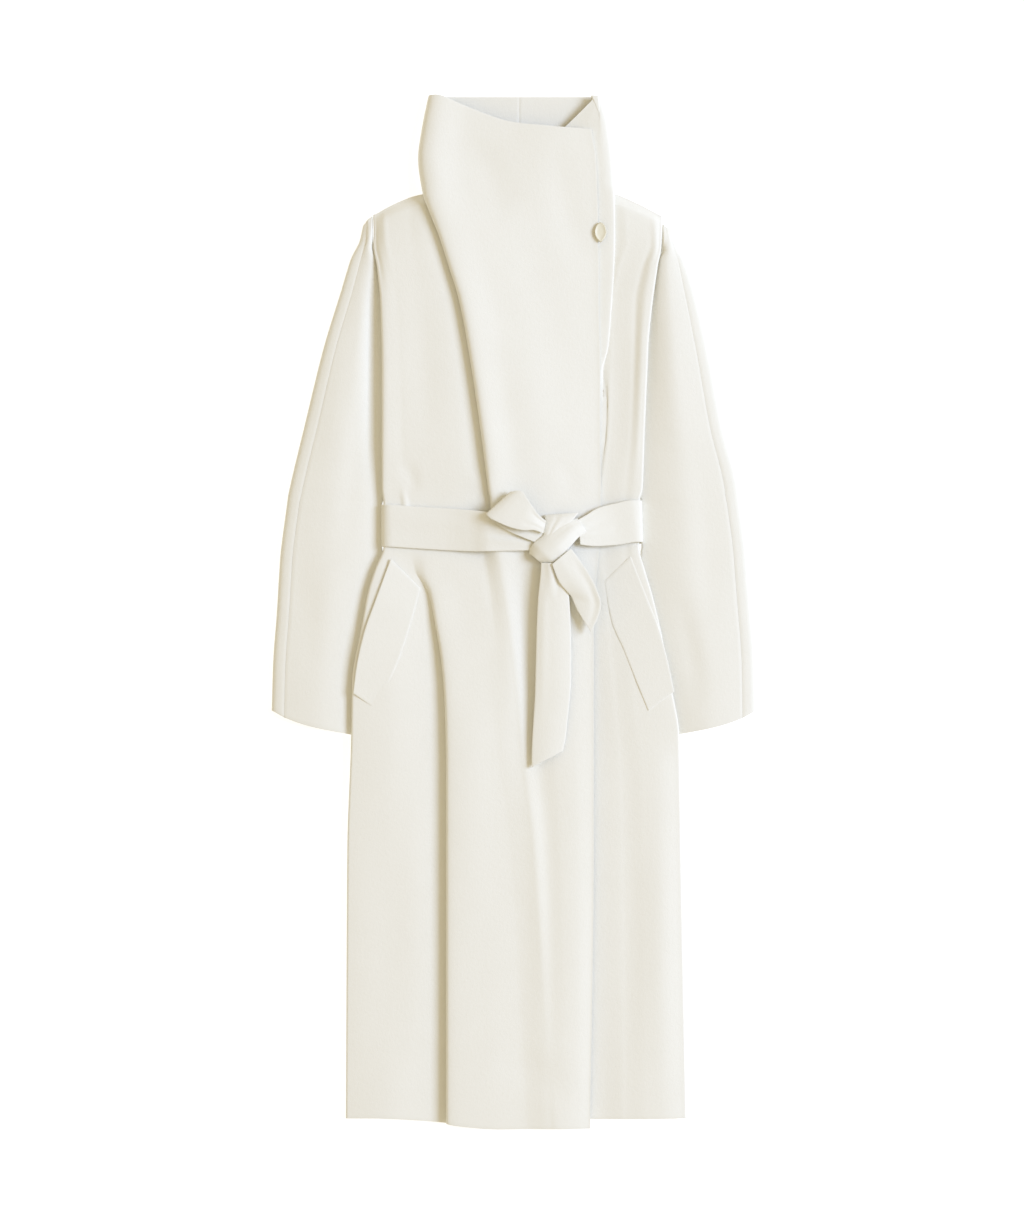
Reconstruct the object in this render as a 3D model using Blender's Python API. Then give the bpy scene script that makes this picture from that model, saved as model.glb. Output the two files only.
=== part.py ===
"""A long wrap coat lying flat on its back, with a funnel collar, a tied belt and two slanting pocket welts.

+X points to the wearer's left, +Y to the collar and +Z out of the surface. Every panel is a wall of one cloth
thickness. It is lofted across lines that run the length of the coat: its edges, its folds and the lines
between them. Each line's place is read from a short table, a row for each section across the coat.
"""

import math

import bmesh
import bpy
import numpy as np

for old in list(bpy.data.objects):
    bpy.data.objects.remove(old, do_unlink=True)

# Driving dimensions, in millimetres
MM = 0.001
CLOTH = 2.2  # double-faced wool
BELT_CLOTH = 2.6
SEAM = 0.3  # gap between pieces that are sewn together
FLOOR_Z = CLOTH / 2  # middle of a layer that lies on the surface
UPPER_Z = 3 * CLOTH / 2 + SEAM  # middle of a layer that lies on that one
COLLAR_Y = 700.0
NECK_Y = 569.0
CHEST_Y = 470.0  # below this, the panels keep to their own heights
SHOULDER_BACK_Y = 508.0
SKIRT_Y = -420.0  # below this, each line is fitted to the hem
HEM_Y = -700.0
SHOULDER_ROLL = 18.0  # how far down from the shoulder seam the cloth rises
CENTRE_BACK = 7.0  # the collar's seam
BELT_WIDTH = 57.0
BELT_Y = 118.0
BELT_EASE = 17.0  # over which the back comes down to the surface beside the belt
BACK_INSET = 3.5  # how far the back's side edges lie outside the fronts' seam lines
BELT_CROWN = 2.0  # how far the belt's hanging ends arch across their width
SLEEVE_SEAM = 3 * SEAM
SLEEVE_TOP_Y = 480.0  # above this, each sleeve line is fitted to the shoulder seam
SLEEVE_CUFF_Y = -20.0  # below this, each is fitted to the cuff
SLEEVE_MIN_RISE = 0.35
INNER_RISE = 0.58  # how much of the crown's rise the sleeve has, half-way in from it
WELD = 0.00001
WOOL = (0.86, 0.83, 0.76)
HORN = (0.72, 0.66, 0.50)
BAND_COLUMNS = ("x", "y", "z", "width", "turn", "tilt")

# Sections down the coat: a row of points is made at each of these heights
COLLAR_ROWS = (700, 680, 655, 628, 600, 583, 569)
CHEST_ROWS = (569, 567, 562, 552, 535, 508, 470, 420, 360, 300, 240, 185, 148)
SKIRT_ROWS = (118, 88, 58, 25, -15, -55, -105, -180, -290, -420, -560, -700)
BODY_ROWS = CHEST_ROWS + SKIRT_ROWS
SLEEVE_ROWS = (540, 536, 527, 510, 494, 478, 435, 375, 300, 225, 166, 156, 148, 88, 79, 50, 0, -70, -140)
BACK_ROWS = (569, 555, 535, 508, 470, 420, 360, 240, 165, 148, 118, 88, 70, 25, -30, -105, -180, -420, -684)


def table(names, *rows):
    """Named columns from rows. The first column, y, runs down the coat."""
    columns = np.array(rows, float).T
    return dict(zip(names.split(), columns))


# The right front, which wraps over the left. y; the wrap edge; the drape's fold edge; the side.
RIGHT_LINES = table(
    "y edge fold side",
    (700, 104, -115, -190),
    (655, 105, -124, -190),
    (615, 111, -129, -190),
    (569, 113, -123, -190),
    (535, 114, -111, -189),
    (510, 114, -101, -190),
    (470, 115, -88, -185),
    (420, 115, -73, -180),
    (333, 117, -57, -178),
    (230, 117, -42, -178),
    (168, 118, -34, -178),
    (148, 118, -31, -175.8),
    (88, 116, -27, -175.8),
    (58, 113, -24, -187),
    (25, 110, -19, -197),
    (-30, 108, -11, -207),
    (-90, 108, -4, -218),
    (-180, 108, 4, -220),
    (-320, 108, 20, -225),
    (-700, 103, 42, -227),
)

# Heights of the right front's upper layer: at the fold, between it and the wrap edge, and at that edge
RIGHT_HEIGHTS = table(
    "y fold near middle far edge",
    (700, 22, 19, 17, 18, 18.4),
    (628, 25, 20, 20, 21, 19),
    (569, 29, 24, 22, 21, 18),
    (510, 32, 28, 24, 20, 16.6),
    (398, 33, 27, 24, 20, 16.4),
    (240, 33, 27, 24, 20, 16),
    (148, 28, 24, 22, 19, 15),
    (90, 27, 23, 21, 19, 15),
    (40, 23, 19, 21, 21, 17.5),
    (-65, 21.5, 17.5, 21, 21, 18.5),
    (-200, 21.5, 18.5, 21, 21, 18.5),
    (-400, 22.5, 21, 22, 21, 18),
    (-700, 22, 22.5, 21.5, 19.5, 17),
)

# The roll at the drape's fold edge: its radius, how far the valley lies behind it, the valley's height, and
# how far the cloth is folded, from 1, a full overlap, to 0, a ridge
RIGHT_FOLD = table(
    "y radius reach valley folded",
    (700, 10.4, 0, 1.1, 1),
    (628, 11.9, 0, 1.1, 1),
    (583, 12.6, 0, 3, 1),
    (569, 11, 19, 3.6, 1),
    (535, 8, 19, 10, 1),
    (500, 5.6, 19, 16, 1),
    (240, 5.5, 19, 17.5, 1),
    (148, 4, 17, 16, 1),
    (88, 4, 15, 18, 0.2),
    (25, 5, 12, 21, 0.1),
    (-60, 5, 12, 22, 0),
    (-700, 5, 12, 20, 0),
)

# The right front's chest and skirt, beyond that fold. Heights: half-way to the skirt's pleat, at the pleat's
# top, in its valley, half-way on to the side, and at the side's roll. Then that roll's radius, and how far in
# its seam lies
RIGHT_PANEL = table(
    "y inner pleat_x pleat valley pleated outer side side_radius side_in",
    (569, 3.6, -150, 3.6, 3.6, 0, 3.6, 3.6, 1.5, 5),
    (552, 14, -150, 13, 12.5, 0, 10, 8, 2, 5),
    (508, 20, -148, 19, 18.5, 0, 15.5, 12.5, 3, 6),
    (470, 21, -142, 21, 21, 0, 20, 18, 4, 13),
    (420, 21, -132, 21, 21.5, 0, 22, 22, 4.4, 14),
    (240, 21, -126, 21, 21, 0, 22, 22.5, 4.4, 14),
    (148, 18, -124, 17.5, 17.5, 0, 17.5, 17.5, 4, 14),
    (88, 18, -124, 17.5, 17.5, 0, 17.5, 17.5, 4, 14),
    (58, 20, -124, 20, 17, 0.2, 19, 19.5, 4.2, 16),
    (25, 21, -113, 22, 14, 0.7, 20, 20, 4.4, 16),
    (-15, 22, -106, 23, 12, 1, 20, 20, 4.3, 15),
    (-55, 22.5, -99, 23.2, 10.5, 1, 19, 19, 4.2, 14),
    (-105, 22.5, -94, 23.2, 9.5, 1, 18, 18, 4.1, 13),
    (-150, 23, -92, 23, 9, 1, 16.5, 16.5, 4, 12),
    (-215, 23, -91, 23, 9, 1, 15, 13.5, 4, 7),
    (-400, 22.5, -91, 23, 9, 1, 14, 12.5, 4, 6),
    (-700, 22, -91, 22, 7.5, 1, 13, 11, 3.4, 6),
)

# The left front, under the right. y; its own free edge, hidden; its fold edge; the side.
LEFT_LINES = table(
    "y edge fold side",
    (700, 112, 114, 200),
    (680, 92, 123, 200),
    (655, 66, 129, 200),
    (600, 5, 135, 200),
    (569, -20, 136, 200),
    (508, -60, 136, 199),
    (470, -75, 135, 194),
    (420, -84, 132, 187),
    (360, -88, 127, 181),
    (333, -88, 120, 180),
    (240, -88, 100, 176),
    (168, -88, 87, 173.5),
    (148, -88, 84, 169),
    (88, -88, 78, 169),
    (58, -88, 76, 176),
    (25, -88, 74, 186),
    (-30, -88, 72, 199),
    (-105, -88, 70, 213),
    (-165, -88, 70, 223),
    (-320, -88, 70, 226),
    (-700, -88, 70, 233),
)

LEFT_HEIGHTS = table(
    "y fold near middle far edge",
    (700, 15, 15, 15, 15, 15),
    (628, 16.4, 16, 14, 11, 9),
    (569, 14.6, 13, 10.5, 7.5, 6),
    (508, 14, 12, 9, 6, 4.5),
    (360, 13.6, 11, 8, 5, 4.5),
    (300, 13.4, 11.5, 9, 5.5, 4.5),
    (240, 13, 11.5, 10, 6.5, 5),
    (165, 11.5, 11, 10, 8, 7.5),
    (75, 11.5, 11, 10, 8, 7.5),
    (-30, 12.5, 11, 9, 6, 4.5),
    (-700, 12, 10, 8, 5, 4.5),
)

LEFT_FOLD = table(
    "y radius reach valley folded",
    (700, 6.9, 0, 1.1, 1),
    (628, 7.9, 0, 1.1, 1),
    (583, 7, 0, 2, 1),
    (569, 3.6, 12, 5, 1),
    (535, 1.7, 12, 9, 1),
    (500, 1.4, 12, 9.6, 1),
    (350, 1.4, 12, 9.6, 1),
    (300, 1.6, 12, 11, 0.4),
    (250, 2, 12, 12, 0),
    (165, 2, 12, 11.5, 0),
    (75, 2, 12, 11.5, 0),
    (-30, 2, 12, 11, 0),
    (-700, 2, 12, 10.5, 0),
)

LEFT_PANEL = table(
    "y inner pleat_x pleat valley pleated outer side side_radius side_in",
    (569, 3.6, 158, 3.6, 3.6, 0, 3.6, 3.6, 1.5, 5),
    (552, 9, 158, 10, 10, 0, 10, 8, 2, 5),
    (508, 10.5, 160, 12, 12.5, 0, 13.5, 12, 3, 6),
    (470, 10.5, 150, 12, 13.5, 0, 16.5, 16.5, 3.8, 13),
    (420, 10.5, 140, 11.5, 13.5, 0, 17, 17, 4, 13),
    (350, 11, 138, 12, 14, 0, 17, 17, 4, 13),
    (240, 12.5, 134, 13, 15, 0, 16.5, 16, 4, 13),
    (148, 11.5, 126, 12, 14, 0, 15, 15, 3.8, 13),
    (88, 11.5, 126, 12, 14, 0, 15, 15, 3.8, 13),
    (25, 11.5, 130, 12.5, 14.5, 0, 15.5, 15.5, 3.6, 14),
    (-30, 11.5, 134, 12.5, 14.5, 0, 15.5, 15.5, 3.4, 14),
    (-105, 11, 140, 12.5, 14.5, 0, 15.5, 15.5, 3.4, 13),
    (-150, 11, 144, 12.5, 14.5, 0, 15, 15, 3.4, 12),
    (-215, 11, 150, 12.5, 14.5, 0, 14, 11, 3.6, 7),
    (-700, 10, 155, 12, 13.5, 0, 13, 9.5, 3, 6),
)

# Sleeves: the outer edge; how far inside it the seam lies; where the inner edge lies; and the heights of the
# seam, of the crown and of the inner edge
RIGHT_SLEEVE = table(
    "y outer seam inner seam_z crown inner_z",
    (540, -204, 5, -192.6, 3.6, 3.6, 3.6),
    (510, -209, 9, -193, 9, 11.5, 11),
    (494, -215, 11, -190.5, 10, 12.5, 9.5),
    (478, -221, 13, -183, 10.5, 13, 8.5),
    (435, -234, 15, -178, 11.5, 14, 7),
    (360, -257, 16, -175.5, 12.5, 14.5, 6),
    (250, -284, 17, -175.5, 12.5, 14.5, 6),
    (166, -304, 17, -176, 12.5, 14.5, 6),
    (156, -306, 17, -177.5, 12.5, 14.5, 6),
    (148, -307, 16, -182, 12.5, 14.5, 6),
    (88, -315, 16, -182, 12.5, 14.5, 6),
    (79, -316, 16, -180, 12.5, 14.5, 6),
    (50, -318, 16, -186, 12, 14.5, 6),
    (0, -321, 16, -198, 11.5, 14, 6.5),
    (-70, -326, 16, -211, 11.5, 13.5, 6.5),
    (-140, -328, 16, -216, 10, 12, 5.5),
)

LEFT_SLEEVE = table(
    "y outer seam inner seam_z crown inner_z",
    (540, 214, 5, 203, 3.6, 3.6, 3.6),
    (510, 220, 5, 202, 10, 12, 11.8),
    (494, 225, 7, 200.6, 10.5, 12.8, 9),
    (478, 231, 9, 192, 10.5, 13, 7.5),
    (435, 245, 14, 185, 11.5, 14, 6.5),
    (360, 263, 17, 179, 12.5, 14.5, 6),
    (250, 284, 18, 174, 12.5, 14.5, 6),
    (166, 305, 19, 171.5, 12.5, 14.5, 6),
    (156, 306, 19, 173, 12.5, 14.5, 6),
    (148, 307, 18, 176, 12.5, 14.5, 6),
    (88, 315, 18, 176, 12.5, 14.5, 6),
    (79, 316, 18, 174, 12.5, 14.5, 6),
    (50, 318, 18, 176, 12, 14.5, 6),
    (0, 322, 18, 189, 11.5, 14, 7),
    (-70, 327, 18, 204, 11.5, 13.5, 7),
    (-140, 328, 18, 218.5, 10, 12, 5.5),
)

# Tops and ends of the lines, where they don't run square across
RIGHT_COLLAR_TOP = table(
    "x y", (-115, 700), (-79, 692), (-52, 680), (-27, 667), (-4, 665), (53, 658), (104, 654)
)
LEFT_COLLAR_TOP = table("x y", (66, 655), (90, 678), (112, 699), (114, 700))
SHOULDER_RIGHT = table("x y", (-190, 539), (-158, 556), (-126, 567), (-100, 569))
SHOULDER_LEFT = table("x y", (135, 569), (165, 556), (200, 538))
RIGHT_HEM = table("x y", (-230, -687), (-100, -688), (-88, -694), (-50, -700), (110, -700))
LEFT_HEM = table("x y", (-100, -690), (235, -687))
CUFF = table("x y", (214, -168), (278, -155), (319, -140), (327, -134))
SLEEVE_TOP = table("x y", (190, 539), (197, 534), (205, 524), (215, 518))

# The belt's run round the waist, from the knot to the wearer's right, under the back and up to the knot again
# Columns: s, the place along the run; x, y, z, its middle; its width; its turn from +X and its tilt, in
# degrees
BELT_RUN = (
    (0, 15, 104, 29.5, 42, 0, 0),
    (1, -10, 106.5, 30, 48, 2, 0),
    (2, -34, 108.5, 30.4, 53, 2, 0),
    (3, -60, 110, 26, 56, 2, 0),
    (4, -95, 112, 22.5, BELT_WIDTH, 1, 0),
    (5, -135, 114.5, 21.5, BELT_WIDTH, 1, 0),
    (6, -165, 116.5, 21.5, BELT_WIDTH, 1, 0),
    (7, -175, 117, 19, BELT_WIDTH, 0, 0),
    (8, -178.6, 117, 13, BELT_WIDTH, 0, 0),
    (9, -175, 117, 4, BELT_WIDTH, 0, 0),
    (10, -165, 117, 1.3, BELT_WIDTH, 0, 0),
    (11, 0, 117, 1.3, BELT_WIDTH, 0, 0),
    (12, 158, 118, 1.3, BELT_WIDTH, 0, 0),
    (13, 168, 120, 3.5, BELT_WIDTH, 0, 0),
    (14, 173.4, 122, 10, BELT_WIDTH, 1, 0),
    (15, 172, 123, 17, BELT_WIDTH, 3, 0),
    (16, 162, 123, 20.5, BELT_WIDTH, 7, 0),
    (17, 140, 119, 21, 56, 9, 0),
    (18, 118, 115, 23, 52, 10, 0),
    (19, 100, 110, 26, 42, 8, 0),
    (20, 88, 108, 28, 34, 4, 0),
)

# The bow's loop: out from the knot along the lower layer, round its tip, and back along the upper one
LOOP_RUN = (
    (0, 17, 114.8, 35, 30, -28, 0),
    (1, 5.5, 126, 35, 41.5, -24, 0),
    (2, -4.5, 134.5, 35, 48, -26, 0),
    (3, -13.5, 141.5, 35.6, 49, -33, 0),
    (4, -20.6, 146.4, 40, 44, -48, 0),
    (5, -11.5, 143.8, 44.6, 52, -42, 0),
    (6, -1, 139.5, 45.4, 51, -31, 0),
    (7, 11.5, 131.3, 45.2, 42, -21, 0),
    (8, 22, 124.7, 44, 30.5, -19, 0),
    (9, 30, 120.8, 42.5, 21.5, -16, 0),
)

LONG_END = (
    (0, 50, 66, 34, 27, 88, 0),
    (1, 53, 46, 33.5, 35, 89, 0),
    (2, 53.5, 14, 32, 42.5, 90, 0),
    (3, 53.6, -25, 30.5, 46, 91, 0),
    (4, 53, -90, 29.5, 48, 92, 0),
    (5, 49, -150, 28, 46.5, 96, 0),
    (6, 45, -199, 27, 48, 118, 0),
)

SHORT_END = (
    (0, 64, 75, 39.5, 33, 130, 3),
    (1, 76, 54, 38.2, 39, 122, 1),
    (2, 91, 30, 36.7, 41, 92, -2),
    (3, 98, 12, 34.2, 39.5, 72, -3),
    (4, 94.5, -12, 33.4, 35, 31, -2),
)

# Pocket welts: the opening edge and the sewn edge
WELT_COLUMNS = "open_x open_y open_z sewn_x sewn_y sewn_z"
WELT_RIGHT = (
    (-167, 72, 22.6, -127, 32, 19),
    (-186, 20, 24, -139, -12, 20.6),
    (-203, -28, 23.6, -154, -58, 21.4),
    (-213, -72, 22.4, -169, -95, 20.8),
    (-218, -110, 21, -186, -133, 19.6),
)
WELT_LEFT = (
    (158, 76, 17.8, 122, 42, 15),
    (180, 20, 18.6, 132, -12, 15.8),
    (198, -28, 19.2, 149, -52, 17.0),
    (210, -74, 19.0, 166, -95, 18.0),
    (217, -108, 18.8, 182, -134, 18.4),
)

KNOT_MIDDLE = (53, 98, 36)
KNOT_LENGTH = 72
KNOT_WIDTH = 40
KNOT_HEIGHT = 19
KNOT_TURN = 32
KNOT_STATIONS = (-1, -0.9, -0.6, -0.2, 0.2, 0.6, 0.9, 1)
KNOT_FULLNESS = 1.12  # above 1, the ends stay blunt

BUTTON_MIDDLE = (117, 514, 18.4)
BUTTON_WIDTH = 16.5
BUTTON_LENGTH = 27
BUTTON_HEIGHT = 4
BUTTON_POINT = 0.45  # how much narrower it is at its lower tip
BUTTON_RINGS = ((0.8, 0), (0.97, 0.2), (1, 0.45), (0.85, 0.8), (0.5, 1))  # size, height

# Shapes of the rolls: how far each line lies from the edge, in radii, and its share of the drop
FOLD_ROUND = ((1.3, 0), (0.3, 0.15), (0, 0.5), (0.3, 0.85), (1.3, 1))
SIDE_ROUND = ((2.6, 0), (0.8, 0.12), (0, 0.5), (0.8, 0.88))
CUFF_ROUND = ((2.2, 0), (0.7, 0.125), (0, 0.5), (0.7, 0.85))
VALLEY_BACK = 4.0  # a fold's valley lies this far back from its innermost line
SLOPE_ABOVE = 8.0  # an open fold's slope starts this far above its edge line
SLOPE_WIDTH = 34.0
PLEAT_RADIUS = 4.2
PLEAT_REACH = 8.0
OUTER_OFFSET = 26.0  # the line beyond the pleat is half-way from here to the side
COLLAR_TURN = 12.0  # width of the collar's lower turn at the back of the neck

# Lines of a front's upper layer: the share of the way from the fold to the wrap edge, and the heights' column
UPPER_LINES = ((1, "edge"), (0.97, "edge"), (0.75, "far"), (0.5, "middle"), (0.25, "near"))


def smooth(known_x, known_y, x):
    """A curve through the known points that never overshoots them. Each slope is the harmonic mean of those
    beside it."""
    x = np.clip(x, known_x.min(), known_x.max())
    order = np.argsort(known_x)
    known_x = known_x[order]
    known_y = known_y[order]
    gap = np.diff(known_x)
    slope = np.diff(known_y) / gap
    same_way = slope[:-1] * slope[1:] > 0
    total = np.where(same_way, slope[:-1] + slope[1:], 1)
    inside = np.where(same_way, 2 * slope[:-1] * slope[1:] / total, 0)
    tangent = np.concatenate([slope[:1], inside, slope[-1:]])
    k = np.clip(np.searchsorted(known_x, x) - 1, 0, len(gap) - 1)
    t = (x - known_x[k]) / gap[k]
    start = (1 + 2 * t) * (1 - t) ** 2 * known_y[k] + t * (1 - t) ** 2 * gap[k] * tangent[k]
    end = t**2 * (3 - 2 * t) * known_y[k + 1] + t**2 * (t - 1) * gap[k] * tangent[k + 1]
    return start + end


def at(columns, name, y):
    """One column of a table at any heights y."""
    return smooth(columns["y"], columns[name], y)


def outline_y(outline, x):
    """The height of an outline, such as a hem, at one place across the coat."""
    return smooth(outline["x"], outline["y"], np.array([x], float))[0]


def points(x, y, z):
    """Rows of points from three arrays or numbers."""
    return np.stack(np.broadcast_arrays(x, y, z), axis=-1).astype(float)


def refit(y, start, end, new_end):
    """Heights y between start and end, stretched so that end falls on new_end. Beyond start they stay."""
    share = np.clip((y - start) / (end - start), 0, 1)
    return np.where(share > 0, start + share * (new_end - start), y)


def rise(y, top_y):
    """How far the cloth has risen, 0 to 1, at y below the shoulder seam at top_y: a quarter ellipse."""
    depth = np.clip((top_y - y) / SHOULDER_ROLL, 0, 1)
    return np.sqrt(1 - (1 - depth) ** 2)


def across(lines, steps):
    """A grid of rows by columns, through lengthwise lines: a Catmull-Rom curve across each row, in steps."""
    lines = np.stack(lines, axis=1)
    before = 2 * lines[:, :1] - lines[:, 1:2]
    after = 2 * lines[:, -1:] - lines[:, -2:-1]
    padded = np.concatenate([before, lines, after], axis=1)
    gap = np.sqrt(np.linalg.norm(np.diff(padded, axis=1), axis=2) + 1e-9)[..., None]
    slope = np.diff(padded, axis=1) / gap
    tangent = slope[:, :-1] * gap[:, 1:] + slope[:, 1:] * gap[:, :-1]
    tangent = tangent / (gap[:, :-1] + gap[:, 1:])
    columns = [lines[:, :1]]
    for k, count in enumerate(steps):
        t = (np.arange(1, count + 1) / count)[None, :, None]
        start = (1 + 2 * t) * (1 - t) ** 2 * lines[:, k : k + 1]
        start = start + t * (1 - t) ** 2 * gap[:, k + 1 : k + 2] * tangent[:, k : k + 1]
        end = t**2 * (3 - 2 * t) * lines[:, k + 1 : k + 2]
        end = end + t**2 * (t - 1) * gap[:, k + 1 : k + 2] * tangent[:, k + 1 : k + 2]
        columns.append(start + end)
    return np.concatenate(columns, axis=1)


def overlap(y, x, top, radius, reach, valley, folded, way):
    """Seven lines round a fold: over its edge at x, under, and back into a valley. way is +1 where the upper
    layer lies towards +X. Where it isn't folded, the same lines run down a plain slope."""
    bottom = np.maximum(top - 2 * radius, FLOOR_Z)
    tucked = [(way * out * radius, top - drop * (top - bottom)) for out, drop in FOLD_ROUND]
    tucked.append((way * reach, (bottom + valley) / 2))
    tucked.append((way * (reach - VALLEY_BACK), valley))
    lines = []
    for k, (offset, height) in enumerate(tucked):
        share = k / (len(tucked) - 1)
        slope_x = way * (SLOPE_ABOVE - SLOPE_WIDTH * share)
        slope_z = top + (valley - top) * (3 * share**2 - 2 * share**3)
        line_x = x + folded * offset + (1 - folded) * slope_x
        lines.append(points(line_x, y, folded * height + (1 - folded) * slope_z))
    return lines


def side_roll(y, x, top, radius, seam_in, way):
    """Lines round a side edge at x, whose upper layer lies towards way, and down to the seam on the back."""
    bottom = np.maximum(top - 2 * radius, UPPER_Z)
    lines = []
    for out, drop in SIDE_ROUND:
        lines.append(points(x + way * out * radius, y, top - drop * (top - bottom)))
    lines.append(points(x + way * seam_in, y, UPPER_Z))
    return lines


def hemmed(line, hem):
    """The line with its last stretch refitted to end on the hem."""
    line[:, 1] = refit(line[:, 1], SKIRT_Y, HEM_Y, outline_y(hem, line[-1, 0]))
    return line


def shouldered(line, shoulder):
    """The line with its top refitted to the shoulder seam, and its last stretch brought down on to it."""
    top_y = outline_y(shoulder, line[0, 0])
    line[:, 1] = refit(line[:, 1], CHEST_Y, NECK_Y, top_y)
    line[:, 2] = UPPER_Z + (line[:, 2] - UPPER_Z) * rise(line[:, 1], top_y)
    return line


def upper_lines(y, lines, heights, collar_top):
    """Lines of the upper layer from the wrap edge to the fold, each ending on the collar's top edge."""
    made = []
    for share, name in UPPER_LINES:
        top_x = at(lines, "fold", y[:1]) + share * (at(lines, "edge", y[:1]) - at(lines, "fold", y[:1]))
        line_y = refit(y, NECK_Y, COLLAR_Y, outline_y(collar_top, top_x[0]))
        fold_x = at(lines, "fold", line_y)
        x = fold_x + share * (at(lines, "edge", line_y) - fold_x)
        made.append(points(x, line_y, at(heights, name, line_y)))
    return made


def chest_lines(y, valley, side_x, panel, way):
    """Lines of the chest and skirt, from beside the fold's valley over the skirt's pleat to the side seam."""
    pleat_x = at(panel, "pleat_x", y)
    inner_x = (valley[:, 0] + pleat_x + way * PLEAT_REACH) / 2
    outer_x = (pleat_x - way * OUTER_OFFSET + side_x) / 2
    pleat = overlap(
        y,
        pleat_x,
        at(panel, "pleat", y),
        0 * y + PLEAT_RADIUS,
        0 * y + PLEAT_REACH,
        at(panel, "valley", y),
        at(panel, "pleated", y),
        way,
    )
    side_top = at(panel, "side", y)
    side = side_roll(y, side_x, side_top, at(panel, "side_radius", y), at(panel, "side_in", y), way)
    inner = points(inner_x, y, at(panel, "inner", y))
    outer = points(outer_x, y, at(panel, "outer", y))
    return [inner] + pleat + [outer] + side


def front(lines, heights, fold, panel, collar_top, shoulder, hem, way, centre_back):
    """Grids of one front: the upper layer with its fold, the chest and skirt beyond it, and the back half of
    its collar. way is +1 where the upper layer lies towards +X from its fold."""
    y = np.array(COLLAR_ROWS[:-1] + BODY_ROWS, float)
    first = len(COLLAR_ROWS) - 1
    columns = [hemmed(line, hem) for line in upper_lines(y, lines, heights, collar_top)]
    wrap = overlap(
        y,
        at(lines, "fold", y),
        at(heights, "fold", y),
        at(fold, "radius", y),
        at(fold, "reach", y),
        at(fold, "valley", y),
        at(fold, "folded", y),
        way,
    )
    wrap = [hemmed(line, hem) for line in wrap]
    upper = across(columns + wrap[:5], (1, 2, 2, 2, 2, 1, 1, 1, 1))

    body_y = y[first:]
    under = [line[first:] for line in wrap[4:]]
    chest = chest_lines(body_y, under[-1], at(lines, "side", body_y), panel, way)
    chest = [hemmed(shouldered(line, shoulder), hem) for line in chest]
    lower = across(under + chest, (1, 1, 2, 1, 1, 1, 1, 1, 1, 1, 2, 1, 1, 1, 1))

    back_y = y[: first + 1]
    start = wrap[4][: first + 1]
    turned_x = start[:, 0] + way * COLLAR_TURN
    behind = across(
        [
            start,
            points(turned_x, back_y, FLOOR_Z),
            points((turned_x + centre_back) / 2, back_y, FLOOR_Z),
            points(centre_back, back_y, FLOOR_Z),
        ],
        (1, 1, 1),
    )
    behind[-1, 0] = start[-1]
    return upper, lower, behind


def sleeve_line(x, z):
    """One lengthwise line of a sleeve, fitted between the shoulder seam and the cuff, and its rise."""
    top_y = outline_y(SLEEVE_TOP, abs(x[0]))
    cuff_y = outline_y(CUFF, abs(x[-1]))
    y = refit(np.array(SLEEVE_ROWS, float), SLEEVE_TOP_Y, SLEEVE_ROWS[0], top_y)
    y = refit(y, SLEEVE_CUFF_Y, SLEEVE_ROWS[-1], cuff_y)
    return points(x, y, z), rise(y, top_y)


def sleeve_front(columns, way):
    """A sleeve's upper half: from the outer seam over the crown, and round the inner edge on to the lower
    half. way is +1 where the inner edge lies towards +X."""
    y = np.array(SLEEVE_ROWS, float)
    inner = at(columns, "inner", y)
    seam = at(columns, "outer", y) + way * at(columns, "seam", y)
    half = (seam + inner) / 2
    seam_z = at(columns, "seam_z", y)
    crown = at(columns, "crown", y)
    top = at(columns, "inner_z", y)
    drop = top - UPPER_Z
    lines = []
    for x, z in (
        (seam + way * SLEEVE_SEAM, seam_z),
        ((seam + half) / 2, (seam_z + crown) / 2 + 0.6),
        (half, crown),
        ((half + inner) / 2, top + INNER_RISE * (crown - top)),
        (inner - way * 4.5, top),
        (inner - way * 1.2, top - 0.2 * drop),
        (inner, top - 0.5 * drop),
        (inner - way * 2, top - drop),
    ):
        line, risen = sleeve_line(x, z)
        line[:, 2] = UPPER_Z + (line[:, 2] - UPPER_Z) * risen
        lines.append(line)
    return across(lines, (1,) * 7)


def sleeve_back(columns, way):
    """A sleeve's lower half: flat on the surface, then up round the outer edge to the seam."""
    y = np.array(SLEEVE_ROWS, float)
    inner = at(columns, "inner", y)
    outer = at(columns, "outer", y)
    seam = outer + way * at(columns, "seam", y)
    seam_z = at(columns, "seam_z", y)
    flat = FLOOR_Z + 0 * y
    radius = (seam_z - FLOOR_Z) / 2
    lines = [sleeve_line(inner, flat)[0], sleeve_line((seam + inner) / 2, flat)[0]]
    for out, climb in CUFF_ROUND:
        line, risen = sleeve_line(outer + way * out * radius, FLOOR_Z + climb * 2 * radius)
        line[:, 2] = FLOOR_Z + (line[:, 2] - FLOOR_Z) * (SLEEVE_MIN_RISE + (1 - SLEEVE_MIN_RISE) * risen)
        lines.append(line)
    line, risen = sleeve_line(seam, seam_z)
    line[:, 2] = FLOOR_Z + (line[:, 2] - FLOOR_Z) * (SLEEVE_MIN_RISE + (1 - SLEEVE_MIN_RISE) * risen)
    return across(lines + [line], (2, 1, 1, 1, 1, 1))


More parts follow.
